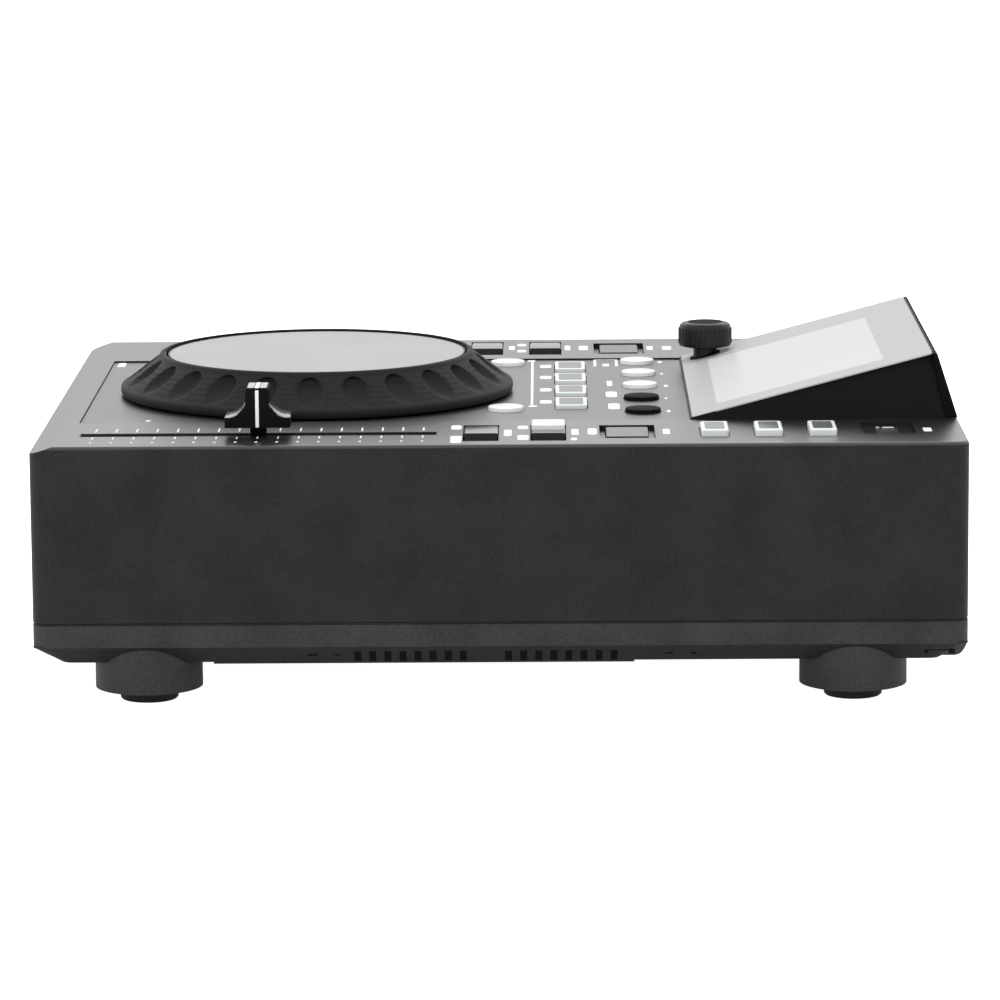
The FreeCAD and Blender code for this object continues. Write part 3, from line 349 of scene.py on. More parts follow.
def piece(name, mesh, body, material, replaces=()):
    item = bpy.data.objects.new(name, mesh)
    bpy.context.scene.collection.objects.link(item)
    if not mesh.materials:
        mesh.materials.append(material)
    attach(item, body)
    if replaces:
        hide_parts(*replaces)
    return item


def mesh_from(bm, name):
    bmesh.ops.remove_doubles(bm, verts=bm.verts, dist=1e-7)
    bmesh.ops.recalc_face_normals(bm, faces=bm.faces)
    mesh = bpy.data.meshes.new(name)
    bm.to_mesh(mesh)
    bm.free()
    return mesh


def smooth_by_angle(mesh, degrees):
    """Shade the faces smooth and keep the edges sharper than an angle crisp."""
    for face in mesh.polygons:
        face.use_smooth = True
    mesh.set_sharp_from_angle(angle=math.radians(degrees))
    return mesh


def smooth_piece(bm, name, degrees, body, material, replaces=()):
    return piece(name, smooth_by_angle(mesh_from(bm, name), degrees), body, material, replaces)


def add_slab(bm, outline, low, high):
    """A slab from a flat outline of (x, y) points."""
    bottom = [bm.verts.new((x, y, low)) for x, y in outline]
    top = [bm.verts.new((x, y, high)) for x, y in outline]
    count = len(outline)
    bm.faces.new(list(reversed(bottom)))
    bm.faces.new(top)
    for i in range(count):
        j = (i + 1) % count
        bm.faces.new((bottom[i], bottom[j], top[j], top[i]))


def bridge(bm, rings, capped=False):
    """Join each ring of points to the next one, and close both ends if asked."""
    for a, b in zip(rings, rings[1:]):
        for i in range(len(a)):
            j = (i + 1) % len(a)
            bm.faces.new((a[i], a[j], b[j], b[i]))
    if capped:
        bm.faces.new(rings[0])
        bm.faces.new(rings[-1])


def round_rectangle(x, y, size_x, size_y, radius, steps=4):
    points = []
    for cx, cy, start in ((1, 1, 0), (-1, 1, 90), (-1, -1, 180), (1, -1, 270)):
        for step in range(steps + 1):
            angle = math.radians(start + 90 * step / steps)
            points.append((x + cx * (size_x / 2 - radius) + radius * math.cos(angle),
                           y + cy * (size_y / 2 - radius) + radius * math.sin(angle)))
    return points


def add_ring(bm, outer, inner, low, high):
    """A closed frame between two outlines with the same number of points."""
    rings = [[bm.verts.new((x, y, z)) for x, y in line] for line, z in
             ((outer, low), (outer, high), (inner, high), (inner, low))]
    bridge(bm, rings + rings[:1])


def lathe(bm, centre, profile, steps=96, wobble=None):
    """Turn a profile of (radius, height) round the upright axis through a centre."""
    rings = []
    for radius, height in profile:
        if radius < 1e-7:
            rings.append([bm.verts.new((centre.x, centre.y, height))])
            continue
        ring = []
        for step in range(steps):
            angle = 2 * math.pi * step / steps
            r = radius - (wobble(angle, height) if wobble else 0.0)
            ring.append(bm.verts.new((centre.x + r * math.cos(angle), centre.y + r * math.sin(angle), height)))
        rings.append(ring)
    for a, b in zip(rings, rings[1:]):
        for step in range(steps):
            after = (step + 1) % steps
            if len(a) == 1:
                bm.faces.new((a[0], b[step], b[after]))
            elif len(b) == 1:
                bm.faces.new((a[step], a[after], b[0]))
            else:
                bm.faces.new((a[step], a[after], b[after], b[step]))


# Geometry Nodes


def finish_tree(tree, points, shape, material):
    """End a tree with the shape on each point, the instances made real and the material set."""
    nodes, links = tree.nodes, tree.links
    spread = nodes.new("GeometryNodeInstanceOnPoints")
    real = nodes.new("GeometryNodeRealizeInstances")
    paint = nodes.new("GeometryNodeSetMaterial")
    leave = nodes.new("NodeGroupOutput")
    paint.inputs["Material"].default_value = material
    links.new(points.outputs[0], spread.inputs["Points"])
    links.new(shape.outputs["Mesh"], spread.inputs["Instance"])
    links.new(spread.outputs["Instances"], real.inputs["Geometry"])
    links.new(real.outputs["Geometry"], paint.inputs["Geometry"])
    links.new(paint.outputs["Geometry"], leave.inputs["Geometry"])


def new_tree(name, inputs):
    tree = bpy.data.node_groups.new(name, "GeometryNodeTree")
    tree.interface.new_socket(name="Geometry", in_out="INPUT", socket_type="NodeSocketGeometry")
    for label, kind, default in inputs:
        made = tree.interface.new_socket(name=label, in_out="INPUT", socket_type=kind)
        made.default_value = default
    tree.interface.new_socket(name="Geometry", in_out="OUTPUT", socket_type="NodeSocketGeometry")
    return tree, tree.nodes.new("NodeGroupInput")


def row_tree(material):
    """A straight row of equal bars."""
    tree, entry = new_tree("Row of bars", [
        ("Count", "NodeSocketInt", 17), ("Start", "NodeSocketVector", (0, 0, 0)),
        ("Step", "NodeSocketVector", (0, 0.006, 0)), ("Bar", "NodeSocketVector", (0.001, 0.001, 0.001))])
    line = tree.nodes.new("GeometryNodeMeshLine")
    bar = tree.nodes.new("GeometryNodeMeshCube")
    for label, node, name in (("Count", line, "Count"), ("Start", line, "Start Location"),
                              ("Step", line, "Offset"), ("Bar", bar, "Size")):
        tree.links.new(entry.outputs[label], node.inputs[name])
    finish_tree(tree, line, bar, material)
    return tree


def rib_ring_tree(material):
    """Upright ribs standing in a ring."""
    tree, entry = new_tree("Ring of ribs", [
        ("Count", "NodeSocketInt", 36), ("Radius", "NodeSocketFloat", 0.009),
        ("Centre", "NodeSocketVector", (0, 0, 0)), ("Rib radius", "NodeSocketFloat", 0.0004),
        ("Rib height", "NodeSocketFloat", 0.005)])
    ring = tree.nodes.new("GeometryNodeMeshCircle")
    shift = tree.nodes.new("GeometryNodeTransform")
    rib = tree.nodes.new("GeometryNodeMeshCylinder")
    rib.inputs["Vertices"].default_value = 8
    for label, node, name in (("Count", ring, "Vertices"), ("Radius", ring, "Radius"),
                              ("Centre", shift, "Translation"), ("Rib radius", rib, "Radius"),
                              ("Rib height", rib, "Depth")):
        tree.links.new(entry.outputs[label], node.inputs[name])
    tree.links.new(ring.outputs["Mesh"], shift.inputs["Geometry"])
    finish_tree(tree, shift, rib, material)
    return tree


def grown(tree, values, name):
    """Run a tree once and return the result as a plain mesh."""
    holder = bpy.data.objects.new(name + "_seed", bpy.data.meshes.new(name + "_seed"))
    bpy.context.scene.collection.objects.link(holder)
    modifier = holder.modifiers.new("Grow", "NODES")
    modifier.node_group = tree
    for item in tree.interface.items_tree:
        if item.in_out == "INPUT" and item.name in values:
            modifier[item.identifier] = values[item.name]
    bpy.context.view_layer.update()
    seen = holder.evaluated_get(bpy.context.evaluated_depsgraph_get())
    mesh = bpy.data.meshes.new_from_object(seen)
    holder.modifiers.clear()
    bpy.data.objects.remove(holder)
    mesh.name = name
    return mesh


def join_meshes(meshes, name):
    bm = bmesh.new()
    for mesh in meshes:
        bm.from_mesh(mesh)
    joined = bpy.data.meshes.new(name)
    bm.to_mesh(joined)
    bm.free()
    joined.materials.append(meshes[0].materials[0])
    return joined


# The jog wheel


def build_wheel(materials):
    """Rubber grip with finger dimples and ribbed ridges, and the wheel's trim."""
    sizes = bpy.context.scene.player_sizes
    low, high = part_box("jog_grip")
    centre = middle("jog_grip")
    low = Vector((low.x, low.y, PANEL_Z + 0.5 * MM))
    high = high + Vector((0, 0, 0.5 * MM))
    outer = (high.x - low.x) / 2
    hub_low, hub_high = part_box("jog_hub")
    top_radius = middle("jog_hub").x + (hub_high.x - hub_low.x) / 2 + 1.2 * MM
    foot = Vector((outer - 1.2 * MM, low.z + 3.2 * MM))
    shoulder = Vector((top_radius + 0.8 * MM, high.z - 1.2 * MM))
    slope = shoulder - foot
    rows = 40
    half_width, half_length = 4.4 * MM, slope.length * 0.47

    def dimple(angle, height):
        """How far the surface is pressed in at one place of the skirt."""
        share = (height - foot.y) / slope.y
        if not 0 < share < 1:
            return 0.0
        step = 2 * math.pi / sizes.grip_lobes
        off = (angle + step / 2) % step - step / 2
        across = off * (foot.x + slope.x * share) / half_width
        along = (share - 0.5) * slope.length / half_length
        inside = 1 - across * across - along * along
        if inside > 0:
            return sizes.lobe_depth * min(1.0, inside * 1.35) ** 0.8
        ridge = min(1.0, -inside * 2.0) * math.sin(math.pi * share) ** 0.5
        return 0.16 * MM * ridge * (0.5 - 0.5 * math.cos(2 * math.pi * share * 6.0))

    profile = [(outer - 6 * MM, low.z + 2.9 * MM), (outer - 6 * MM, low.z), (outer - 0.7 * MM, low.z),
               (outer - 0.2 * MM, low.z + 0.3 * MM), (outer, low.z + 0.9 * MM), (outer, low.z + 2.2 * MM),
               (outer - 0.3 * MM, low.z + 2.8 * MM)]
    profile += [tuple(foot + slope * (row / rows)) for row in range(rows + 1)]
    profile += [(top_radius + 0.4 * MM, high.z - 0.4 * MM), (top_radius - 0.3 * MM, high.z),
                (top_radius - 1.15 * MM, high.z), (top_radius - 1.15 * MM, high.z - 1.2 * MM),
                (outer - 6 * MM, low.z + 2.9 * MM)]
    bm = bmesh.new()
    lathe(bm, centre, profile, sizes.grip_lobes * 18, dimple)
    smooth_piece(bm, "wheel_grip_rubber", 40, "jog_wheel", materials["rubber"], ["jog_grip"])

    plate_low, plate_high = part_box("jog_plate")
    plate_radius = (plate_high.x - plate_low.x) / 2
    bm = bmesh.new()
    trim = ((0.15, -1.0), (1.3, -1.0), (1.3, -0.1), (1.1, 0.1), (0.45, 0.1), (0.15, -0.15), (0.15, -1.0))
    ring = [(plate_radius + out * MM, plate_high.z + up * MM) for out, up in trim]
    lathe(bm, centre, ring, 160)
    smooth_piece(bm, "wheel_trim_ring", 30, "jog_wheel", materials["key_black"])


# The pitch fader


def build_fader(materials):
    """Fader cap with swept concave wings, its white line, painted highlight on its top and wing tops, the marks
    beside the slot and painted shade along the slot.
    """
    settings = bpy.context.scene.player_sizes
    low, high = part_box("fader_cap")
    x0, x1 = low.x, high.x
    y = (low.y + high.y) / 2
    base = DECK_Z + 3.0 * MM
    reach, grip = (high.y - low.y) / 2, 3.7 * MM
    side = [(reach, base), (reach, base + 3.0 * MM)]
    for step in range(11):
        angle = math.radians(90 * step / 10)
        side.append((reach - 0.4 * MM - (reach - 0.4 * MM - grip) * math.sin(angle),
                     base + 3.2 * MM + 5.6 * MM * (1 - math.cos(angle))))
    side += [(grip - inward * MM, high.z - down * MM) for inward, down in ((0, 1.2), (0.25, 0.4), (0.9, 0.05))]
    outline = [(-a, b) for a, b in side] + [(a, b) for a, b in reversed(side)]
    bm = bmesh.new()
    rings = []
    inset = 0.5 * MM
    for x, shrink in ((x0, inset), (x0 + inset, 0.0), (x1 - inset, 0.0), (x1, inset)):
        rings.append([bm.verts.new((x, y + a * (1 - shrink / reach), base + (b - base) * (1 - shrink / (16 * MM))))
                      for a, b in outline])
    bridge(bm, rings, capped=True)
    stem = round_rectangle((x0 + x1) / 2, y, 1.3 * MM, 5.0 * MM, 0.3 * MM)
    add_slab(bm, stem, low.z, base + 0.5 * MM)
    mesh = smooth_by_angle(mesh_from(bm, "fader_cap_body"), 35)
    mesh.materials.append(materials["key_matt"])
    mesh.materials.append(materials["key_gloss"])
    # The wings' upward faces take the glossy, lighter black and the rest take the dull black: painted highlight on
    # the cap's one plastic.
    for face in mesh.polygons:
        out = abs(face.center.y - y)
        face.material_index = 1 if face.normal.z > 0.12 and grip < out and abs(face.normal.x) < 0.5 else 0
    piece("fader_cap_body", mesh, "pitch_fader", materials["key_matt"], ["fader_cap"])

    bm = bmesh.new()
    line = 0.65 * MM
    proud = 0.05 * MM
    add_slab(bm, round_rectangle((x0 + x1) / 2, y, x1 - x0 - 0.9 * MM, 2 * line, 0.2 * MM),
             high.z - 0.6 * MM, high.z - 0.01 * MM)
    for x in (x0 - proud + 0.02 * MM, x1 - 0.4 * MM):
        box = round_rectangle(x + 0.21 * MM, y, 0.44 * MM, 1.7 * line, 0.1 * MM)
        add_slab(bm, box, base + 0.2 * MM, high.z - 0.7 * MM)
    smooth_piece(bm, "fader_cap_line", 35, "pitch_fader", materials["print"])

    # Pale grey pads on the cap's top, either side of the white line: painted highlight.
    bm = bmesh.new()
    for side_sign in (-1, 1):
        pad_y = y + side_sign * (line + 1.25 * MM)
        add_slab(bm, round_rectangle((x0 + x1) / 2, pad_y, x1 - x0 - 1.6 * MM, 2.1 * MM, 0.6 * MM),
                 high.z - 0.6 * MM, high.z - 0.02 * MM)
    smooth_piece(bm, "fader_cap_painted_highlight", 35, "pitch_fader", materials["pale_grey"])

    tree = row_tree(materials["print"])
    first = y - settings.tick_pitch * (settings.tick_count - 1) / 2
    rows = []
    slot_x = (x0 + x1) / 2
    for number, (shift, length, width) in enumerate(((-8.6, 6.4, 0.5), (6.2, 4.0, 0.5), (14.6, 1.6, 0.8))):
        start = Vector((slot_x + shift * MM, first, DECK_Z + settings.print_height / 2 - 0.01 * MM))
        rows.append(grown(tree, {
            "Count": settings.tick_count, "Start": start, "Step": Vector((0, settings.tick_pitch, 0)),
            "Bar": Vector((length * MM, width * MM, settings.print_height))}, "ticks_%d" % number))
    piece("fader_marks", join_meshes(rows, "fader_marks"), "chassis", materials["print"])

    # Near-black strips along both edges of the fader slot: painted shade. A near-black triangle sits beside the
    # slot's middle.
    bm = bmesh.new()
    for side_sign in (-1, 1):
        edge = round_rectangle(slot_x + side_sign * 2.1 * MM, y, 1.7 * MM, 109.6 * MM, 0.3 * MM, 2)
        add_slab(bm, edge, DECK_Z - 0.02 * MM, DECK_Z + 0.03 * MM)
    add_slab(bm, [(slot_x + 13.6 * MM, y - 1.6 * MM), (slot_x + 13.6 * MM, y + 1.6 * MM), (slot_x + 7.6 * MM, y)],
             DECK_Z - 0.02 * MM, DECK_Z + 0.02 * MM)
    piece("fader_slot_painted_shade_and_triangle", mesh_from(bm, "fader_slot_painted_shade_and_triangle"), "chassis", materials["groove"])


# Printed marks on the deck and the panel


PANEL_PRINTS = [
    # x, y, size in x, size in y, in millimetres
    (-15.0, 9.9, 96.0, 0.8), (-64.5, 9.6, 3.0, 2.6), (35.0, 10.2, 3.0, 2.8),
    (-51.6, 14.3, 7.0, 3.8), (-26.8, 14.3, 7.0, 3.8), (0.6, 14.3, 7.0, 3.8), (26.2, 14.3, 7.0, 3.8),
    (11.1, 35.4, 12.0, 3.6), (36.2, 35.9, 12.0, 3.6), (-12.7, 35.1, 11.0, 1.8),
    (-60.0, 52.6, 4.0, 1.4), (-33.3, 52.6, 3.0, 1.0), (-6.6, 53.4, 4.0, 1.4), (20.1, 52.8, 3.0, 0.8),
    (46.8, 53.0, 4.0, 1.2), (-61.0, -128.0, 9.0, 2.6), (60.5, -110.0, 2.4, 1.6),
    (-66.3, 34.4, 1.0, 8.0), (-58.5, 30.8, 15.0, 0.9), (-58.5, 38.0, 15.0, 0.9), (-54.0, 34.4, 6.0, 2.2),
]
DECK_PRINTS = [
    (80.3, -13.3, 8.0, 3.2), (103.5, -13.1, 13.0, 3.4), (91.4, 2.6, 12.0, 2.4),
    (81.1, 7.2, 7.0, 3.2), (100.5, 7.3, 9.0, 3.4), (90.5, 23.2, 11.0, 2.2), (104.0, 22.8, 5.0, 1.8),
    (89.7, 28.5, 12.0, 2.8), (90.6, 51.2, 10.0, 2.2), (89.7, 131.2, 7.0, 2.6),
    (-84.5, -13.6, 7.0, 3.2), (-99.0, -13.6, 9.0, 3.2), (-92.2, 2.8, 9.0, 2.0), (-84.5, 6.2, 6.0, 3.0),
    (-99.0, 6.2, 6.0, 3.0), (-91.6, 21.8, 11.0, 1.9), (-91.3, 27.2, 10.0, 3.2), (-90.3, 49.8, 9.0, 2.2),
    (-90.1, 55.6, 9.0, 3.2), (-91.4, -58.0, 6.0, 1.4), (-91.4, -95.0, 6.0, 1.4), (-91.4, -26.0, 6.0, 1.4),
]


def add_mark(bm, x, y, size_x, size_y, height, thick):
    corner = min(size_x, size_y) * 0.3
    shape = round_rectangle(x * MM, y * MM, size_x * MM, size_y * MM, corner * MM, 2)
    add_slab(bm, shape, height - 0.02 * MM, height + thick)


def build_prints(materials):
    """The white printed shapes beside the controls, on the panel and on the deck."""
    thick = bpy.context.scene.player_sizes.print_height
    bm = bmesh.new()
    for marks, level in ((PANEL_PRINTS, PANEL_Z), (DECK_PRINTS, DECK_Z)):
        for mark in marks:
            add_mark(bm, *mark, level, thick)
    piece("deck_prints", mesh_from(bm, "deck_prints"), "chassis", materials["print"])

    bm = bmesh.new()
    port = middle("usb_socket")
    recess_z = DECK_Z - 1.2 * MM
    for shift, length in ((-2.6, 1.0), (0.6, 3.6)):
        add_mark(bm, port.x / MM - 8.4, port.y / MM + shift, 1.6, length, recess_z, thick)
    piece("port_prints", mesh_from(bm, "port_prints"), "chassis", materials["print"])


# Keys


def build_keys(materials):
    """Low caps for the panel's keys, smoked windows on the lit ones, rockers and caps on the bars."""
    low_top, under = PANEL_Z + 1.2 * MM, CAD_PANEL_Z - 3.3 * MM
    hot_cues = ["hot_cue_%d" % n for n in (1, 2, 3, 4)]
    for name in ["time_button", "loop_button"] + ["mode_button_%d" % n for n in (1, 2, 3, 4, 5)]:
        low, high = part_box(name)
        flange, radius = (high.x - low.x) / 2, 5.6 * MM
        profile = [(0, low_top), (radius - 0.35 * MM, low_top), (radius - 0.1 * MM, low_top - 0.08 * MM),
                   (radius, low_top - 0.3 * MM), (radius, under), (flange, under), (flange, low.z), (0, low.z)]
        bm = bmesh.new()
        lathe(bm, middle(name), profile, 72)
        dark = name in ("mode_button_4", "mode_button_5")
        smooth_piece(bm, name + "_low_cap", 35, BODY_OF[name], materials["key_matt" if dark else "key_white"],
                     [name])
    for name in hot_cues:
        low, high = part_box(name)
        spot = middle(name)
        bm = bmesh.new()
        add_slab(bm, round_rectangle(spot.x, spot.y, high.x - low.x - 2 * MM, high.y - low.y - 2 * MM, 0.7 * MM),
                 under - 0.1 * MM, low_top)
        add_slab(bm, round_rectangle(spot.x, spot.y, high.x - low.x, high.y - low.y, 1.0 * MM),
                 low.z, under)
        cap = smooth_piece(bm, name + "_low_cap", 35, BODY_OF[name], materials["key_white"], [name])
        soften(cap, 0.2 * MM)
    for name in hot_cues + ["deck_key_%d" % n for n in (1, 2, 3)]:
        low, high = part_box(name)
        if name.startswith("hot"):
            high = Vector((high.x, high.y, low_top))
        spot = middle(name)
        width, length = high.x - low.x - 2 * MM, high.y - low.y - 2 * MM
        bm = bmesh.new()
        add_slab(bm, round_rectangle(spot.x, spot.y, width - 3.4 * MM, length - 2.4 * MM, 0.6 * MM),
                 high.z - 0.4 * MM, high.z + 0.05 * MM)
        item = smooth_piece(bm, name + "_window", 35, BODY_OF[name], materials["key_smoke"])
        soften(item, 0.04 * MM)
    for name in ("pitch_rocker", "search_rocker", "track_rocker", "folder_rocker"):
        build_rocker(name, materials)
    for name in ("lock_bar", "source_bar"):
        low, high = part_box(name)
        spot = middle(name)
        bm = bmesh.new()
        width, length = high.x - low.x - 2.4 * MM, high.y - low.y - 2.4 * MM
        add_slab(bm, round_rectangle(spot.x, spot.y, width - 0.2 * MM, length - 0.2 * MM, 0.9 * MM),
                 high.z - 0.6 * MM, high.z + 0.15 * MM)
        item = smooth_piece(bm, name + "_cap", 35, BODY_OF[name], materials["panel"])
        soften(item, 0.12 * MM)


def soften(item, width):
    """Round an object's edges by a small bevel."""
    bevel = item.modifiers.new("Soft edges", "BEVEL")
    bevel.width = width
    bevel.segments = 2
    bevel.limit_method = "ANGLE"
    bevel.angle_limit = math.radians(40)
    return item


ROCKER_LEVEL = [
    # across from the far end to the near end, height over the deck, in millimetres
    (-14.5, -2.6), (-13.9, -1.0), (-12.6, -0.1), (-11.0, 0.35), (-6.0, 0.6), (0.0, 0.7), (3.4, 0.5),
    (5.2, 0.0), (8.0, -1.0), (11.5, -2.2), (14.5, -3.2),
]
ROCKER_SPLIT = 6


def build_rocker(name, materials):
    """A rocker whose gently crowned top is glossy black and whose near end dips into its well in dull black,
    painted highlight and painted shade on one plastic, and a white block on one rocker's far half, a painted
    reflection.
    """
    low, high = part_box(name)
    spot = middle(name)
    half_y, foot_z = (high.y - low.y) / 2, low.z + 1.0 * MM
    # The crowned top takes the glossy black and the near dip takes the dull black, two copies of the rocker's one
    # plastic: painted highlight and painted shade.
    for part, finish, chosen in (("top", "key_gloss", ROCKER_LEVEL[:ROCKER_SPLIT + 1]),
                                 ("dip", "key_matt", ROCKER_LEVEL[ROCKER_SPLIT:])):
        bm = bmesh.new()
        rings = []
        for x, z in chosen:
            ring = []
            level = DECK_Z + z * MM
            for y, drop in ((-half_y, None), (-half_y, 0.3), (0.35 * MM - half_y, 0.0),
                            (half_y - 0.35 * MM, 0.0), (half_y, 0.3), (half_y, None)):
                ring.append(bm.verts.new((spot.x + x * MM, spot.y + y,
                                          foot_z if drop is None else level - drop * MM)))
            rings.append(ring)
        bridge(bm, rings, capped=True)
        smooth_piece(bm, "%s_%s" % (name, part), 30, BODY_OF[name], materials[finish], [name])
    # A white block on the search rocker's far half: painted reflection of the white room.
    if name == "search_rocker":
        bm = bmesh.new()
        add_slab(bm, round_rectangle(spot.x - 7.4 * MM, spot.y, 11.0 * MM, 2 * half_y - 0.2 * MM, 0.8 * MM),
                 DECK_Z - 0.6 * MM, DECK_Z + 2.2 * MM)
        lit = smooth_piece(bm, name + "_painted_reflection_half", 35, BODY_OF[name], materials["key_white"])
        soften(lit, 0.35 * MM)


# The push encoder's knob


def build_knob(materials):
    """Ribbed knob with a rounded crown and a neck that passes through the display cover."""
    sizes = bpy.context.scene.player_sizes
    low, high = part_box("encoder_knob")
    high = high + Vector((0, 0, 0.6 * MM))
    low = low - Vector((0, 0, 0.4 * MM))
    centre = middle("encoder_knob")
    radius = (high.x - low.x) / 2
    neck = 3.9 * MM
    profile = [(0, high.z), (radius - 2.6 * MM, high.z), (radius - 1.5 * MM, high.z - 0.25 * MM),
               (radius - 0.7 * MM, high.z - 0.9 * MM), (radius - 0.4 * MM, high.z - 1.8 * MM),
               (radius - 0.25 * MM, low.z + 2.0 * MM), (radius - 0.6 * MM, low.z + 1.2 * MM),
               (radius - 3.4 * MM, low.z + 0.5 * MM), (neck, low.z + 0.3 * MM), (neck, low.z - 3.2 * MM),
               (0, low.z - 3.2 * MM)]
    bm = bmesh.new()
    lathe(bm, centre, profile, 96)
    body = mesh_from(bm, "knob_body")
    body.materials.append(materials["key_black"])
    ribs = grown(rib_ring_tree(materials["key_black"]), {
        "Count": sizes.knob_ribs, "Radius": radius - 0.5 * MM,
        "Centre": Vector((centre.x, centre.y, (low.z + high.z) / 2 + 0.1 * MM)),
        "Rib radius": 0.36 * MM, "Rib height": high.z - low.z - 4.0 * MM}, "knob_ribs")
    mesh = smooth_by_angle(join_meshes([body, ribs], "encoder_knob_rubber"), 38)
    piece("encoder_knob_rubber", mesh, "encoder_knob_body", materials["key_black"], ["encoder_knob"])

    bm = bmesh.new()
    lathe(bm, centre, [(0, high.z - 0.1 * MM), (radius - 3.3 * MM, high.z - 0.1 * MM),
                       (radius - 3.3 * MM, high.z + 0.03 * MM), (0, high.z + 0.03 * MM)], 72)
    smooth_piece(bm, "encoder_knob_top", 35, "encoder_knob_body", materials["key_matt"])


# The display's cover


def build_display(materials):
    """A thin cover that reaches the display's edges, the encoder's dark collar in it, which also stands for the
    knob's shadow and reflection on the cover as painted shade, and the cowl behind it.
    """
    case_low, case_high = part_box("display_housing")
    knob = middle("encoder_knob")
    front = case_low.y
    length = (case_high.z - DISPLAY_FOOT_Z) / math.sin(TILT)
    reach, thick = case_high.x - 0.5 * MM, 0.5 * MM
    cover = round_rectangle(0, length / 2, 2 * reach, length - 1.2 * MM, 1.2 * MM, 5)
    hole = [(knob.x + 4.8 * MM * math.cos(a * math.pi / 20),
             (knob.y - front) / math.cos(TILT) + 4.8 * MM * math.sin(a * math.pi / 20)) for a in range(40)]
    bm = bmesh.new()
    edges = []
    for line in (cover, hole):
        corners = [bm.verts.new((x, y, -thick / 2)) for x, y in line]
        edges += [bm.edges.new((corners[i - 1], corners[i])) for i in range(len(corners))]
    bmesh.ops.triangle_fill(bm, edges=edges, use_beauty=True)
    raised = bmesh.ops.extrude_face_region(bm, geom=bm.faces[:])["geom"]
    bmesh.ops.translate(bm, verts=[item for item in raised if isinstance(item, bmesh.types.BMVert)],
                        vec=(0, 0, thick * 0.8))
    lean = Matrix.Translation((0, front, DISPLAY_FOOT_Z)) @ Matrix.Rotation(TILT, 4, "X")
    bm.transform(lean)
    # A dark collar round the hole for the encoder's neck. It also stands for the knob's shadow and reflection on
    # the cover: painted shade.
    collar = bmesh.new()
    lathe(collar, Vector((knob.x, (knob.y - front) / math.cos(TILT), 0)),
          [(4.3 * MM, 0.1 * MM), (5.2 * MM, 0.1 * MM), (5.2 * MM, 0.5 * MM), (5.0 * MM, 0.6 * MM),
           (4.4 * MM, 0.6 * MM), (4.3 * MM, 0.5 * MM), (4.3 * MM, 0.1 * MM)], 48)
    collar.transform(lean)
    smooth_piece(collar, "encoder_collar_and_painted_shade", 35, "chassis", materials["key_matt"])
    mesh = mesh_from(bm, "display_cover_sheet")
    piece("display_cover_sheet", mesh, "chassis", materials["lens"], ["display_lens"])

    bm = bmesh.new()
    cowl = [(134.5, 100.8), (134.6, 101.3), (135.6, 101.3), (136.1, 100.7), (142.4, 81.02), (138.4, 81.02)]
    ends = [[bm.verts.new((side * (case_high.x - 0.05 * MM), y * MM, z * MM)) for y, z in cowl] for side in (-1, 1)]
    bridge(bm, ends, capped=True)
    soften(smooth_piece(bm, "display_rear_cowl", 40, "chassis", materials["key_matt"]), 0.25 * MM)


def build_panel(materials):
    """The panel's face, nearly level with the deck, and the lip between it and the display."""
    panel_low, panel_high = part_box("control_panel")
    case_low, case_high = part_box("display_housing")
    outline = round_rectangle(0, (panel_high.y + case_low.y) / 2, 2 * case_high.x - 1.6 * MM,
                              case_low.y - panel_high.y + 0.6 * MM, 0.3 * MM, 2)
    bm = bmesh.new()
    add_slab(bm, outline, PANEL_Z - 2.6 * MM, PANEL_Z - 0.01 * MM)
    piece("panel_rear_lip", mesh_from(bm, "panel_rear_lip"), "chassis", materials["panel"])

    panel = NODES["control_panel"]
    mesh = panel.data.copy()
    mesh.name = "panel_face"
    mesh.transform(panel.matrix_world)
    rim, wider = 2.6 * MM, 0.6 * MM
    for vertex in mesh.vertices:
        if vertex.co.z > CAD_PANEL_Z - 0.05 * MM:
            vertex.co.z = PANEL_Z
            for axis in (0, 1):
                inset = min(vertex.co[axis] - panel_low[axis], panel_high[axis] - vertex.co[axis])
                side = 1 if vertex.co[axis] * 2 > panel_low[axis] + panel_high[axis] else -1
                vertex.co[axis] += side * wider * max(0.0, 1 - inset / rim)
    mesh.materials.clear()
    piece("panel_face", mesh, "chassis", materials["panel"], ["control_panel"])


# Sockets, feet and painted shade on the case


def build_sockets(materials):
    """Coloured rings round the audio jacks."""
    back = CASE_HIGH.y
    for name, x, z, finish in (("left_jack_ring", -84, 55, "white_ring"), ("right_jack_ring", -84, 41, "red_ring"),
                               ("digital_jack_ring", -64, 48, "pale_grey")):
        bm = bmesh.new()
        rings = []
        for radius, depth in ((2.0, 0.6), (3.9, 0.6), (3.9, 0.15), (3.6, 0.02), (2.3, 0.02), (2.0, 0.2)):
            ring = []
            for step in range(40):
                angle = 2 * math.pi * step / 40
                ring.append(bm.verts.new((x * MM + radius * MM * math.cos(angle), back - depth * MM,
                                          z * MM + radius * MM * math.sin(angle))))
            rings.append(ring)
        bridge(bm, rings + rings[:1])
        smooth_piece(bm, name, 35, "chassis", materials[finish])


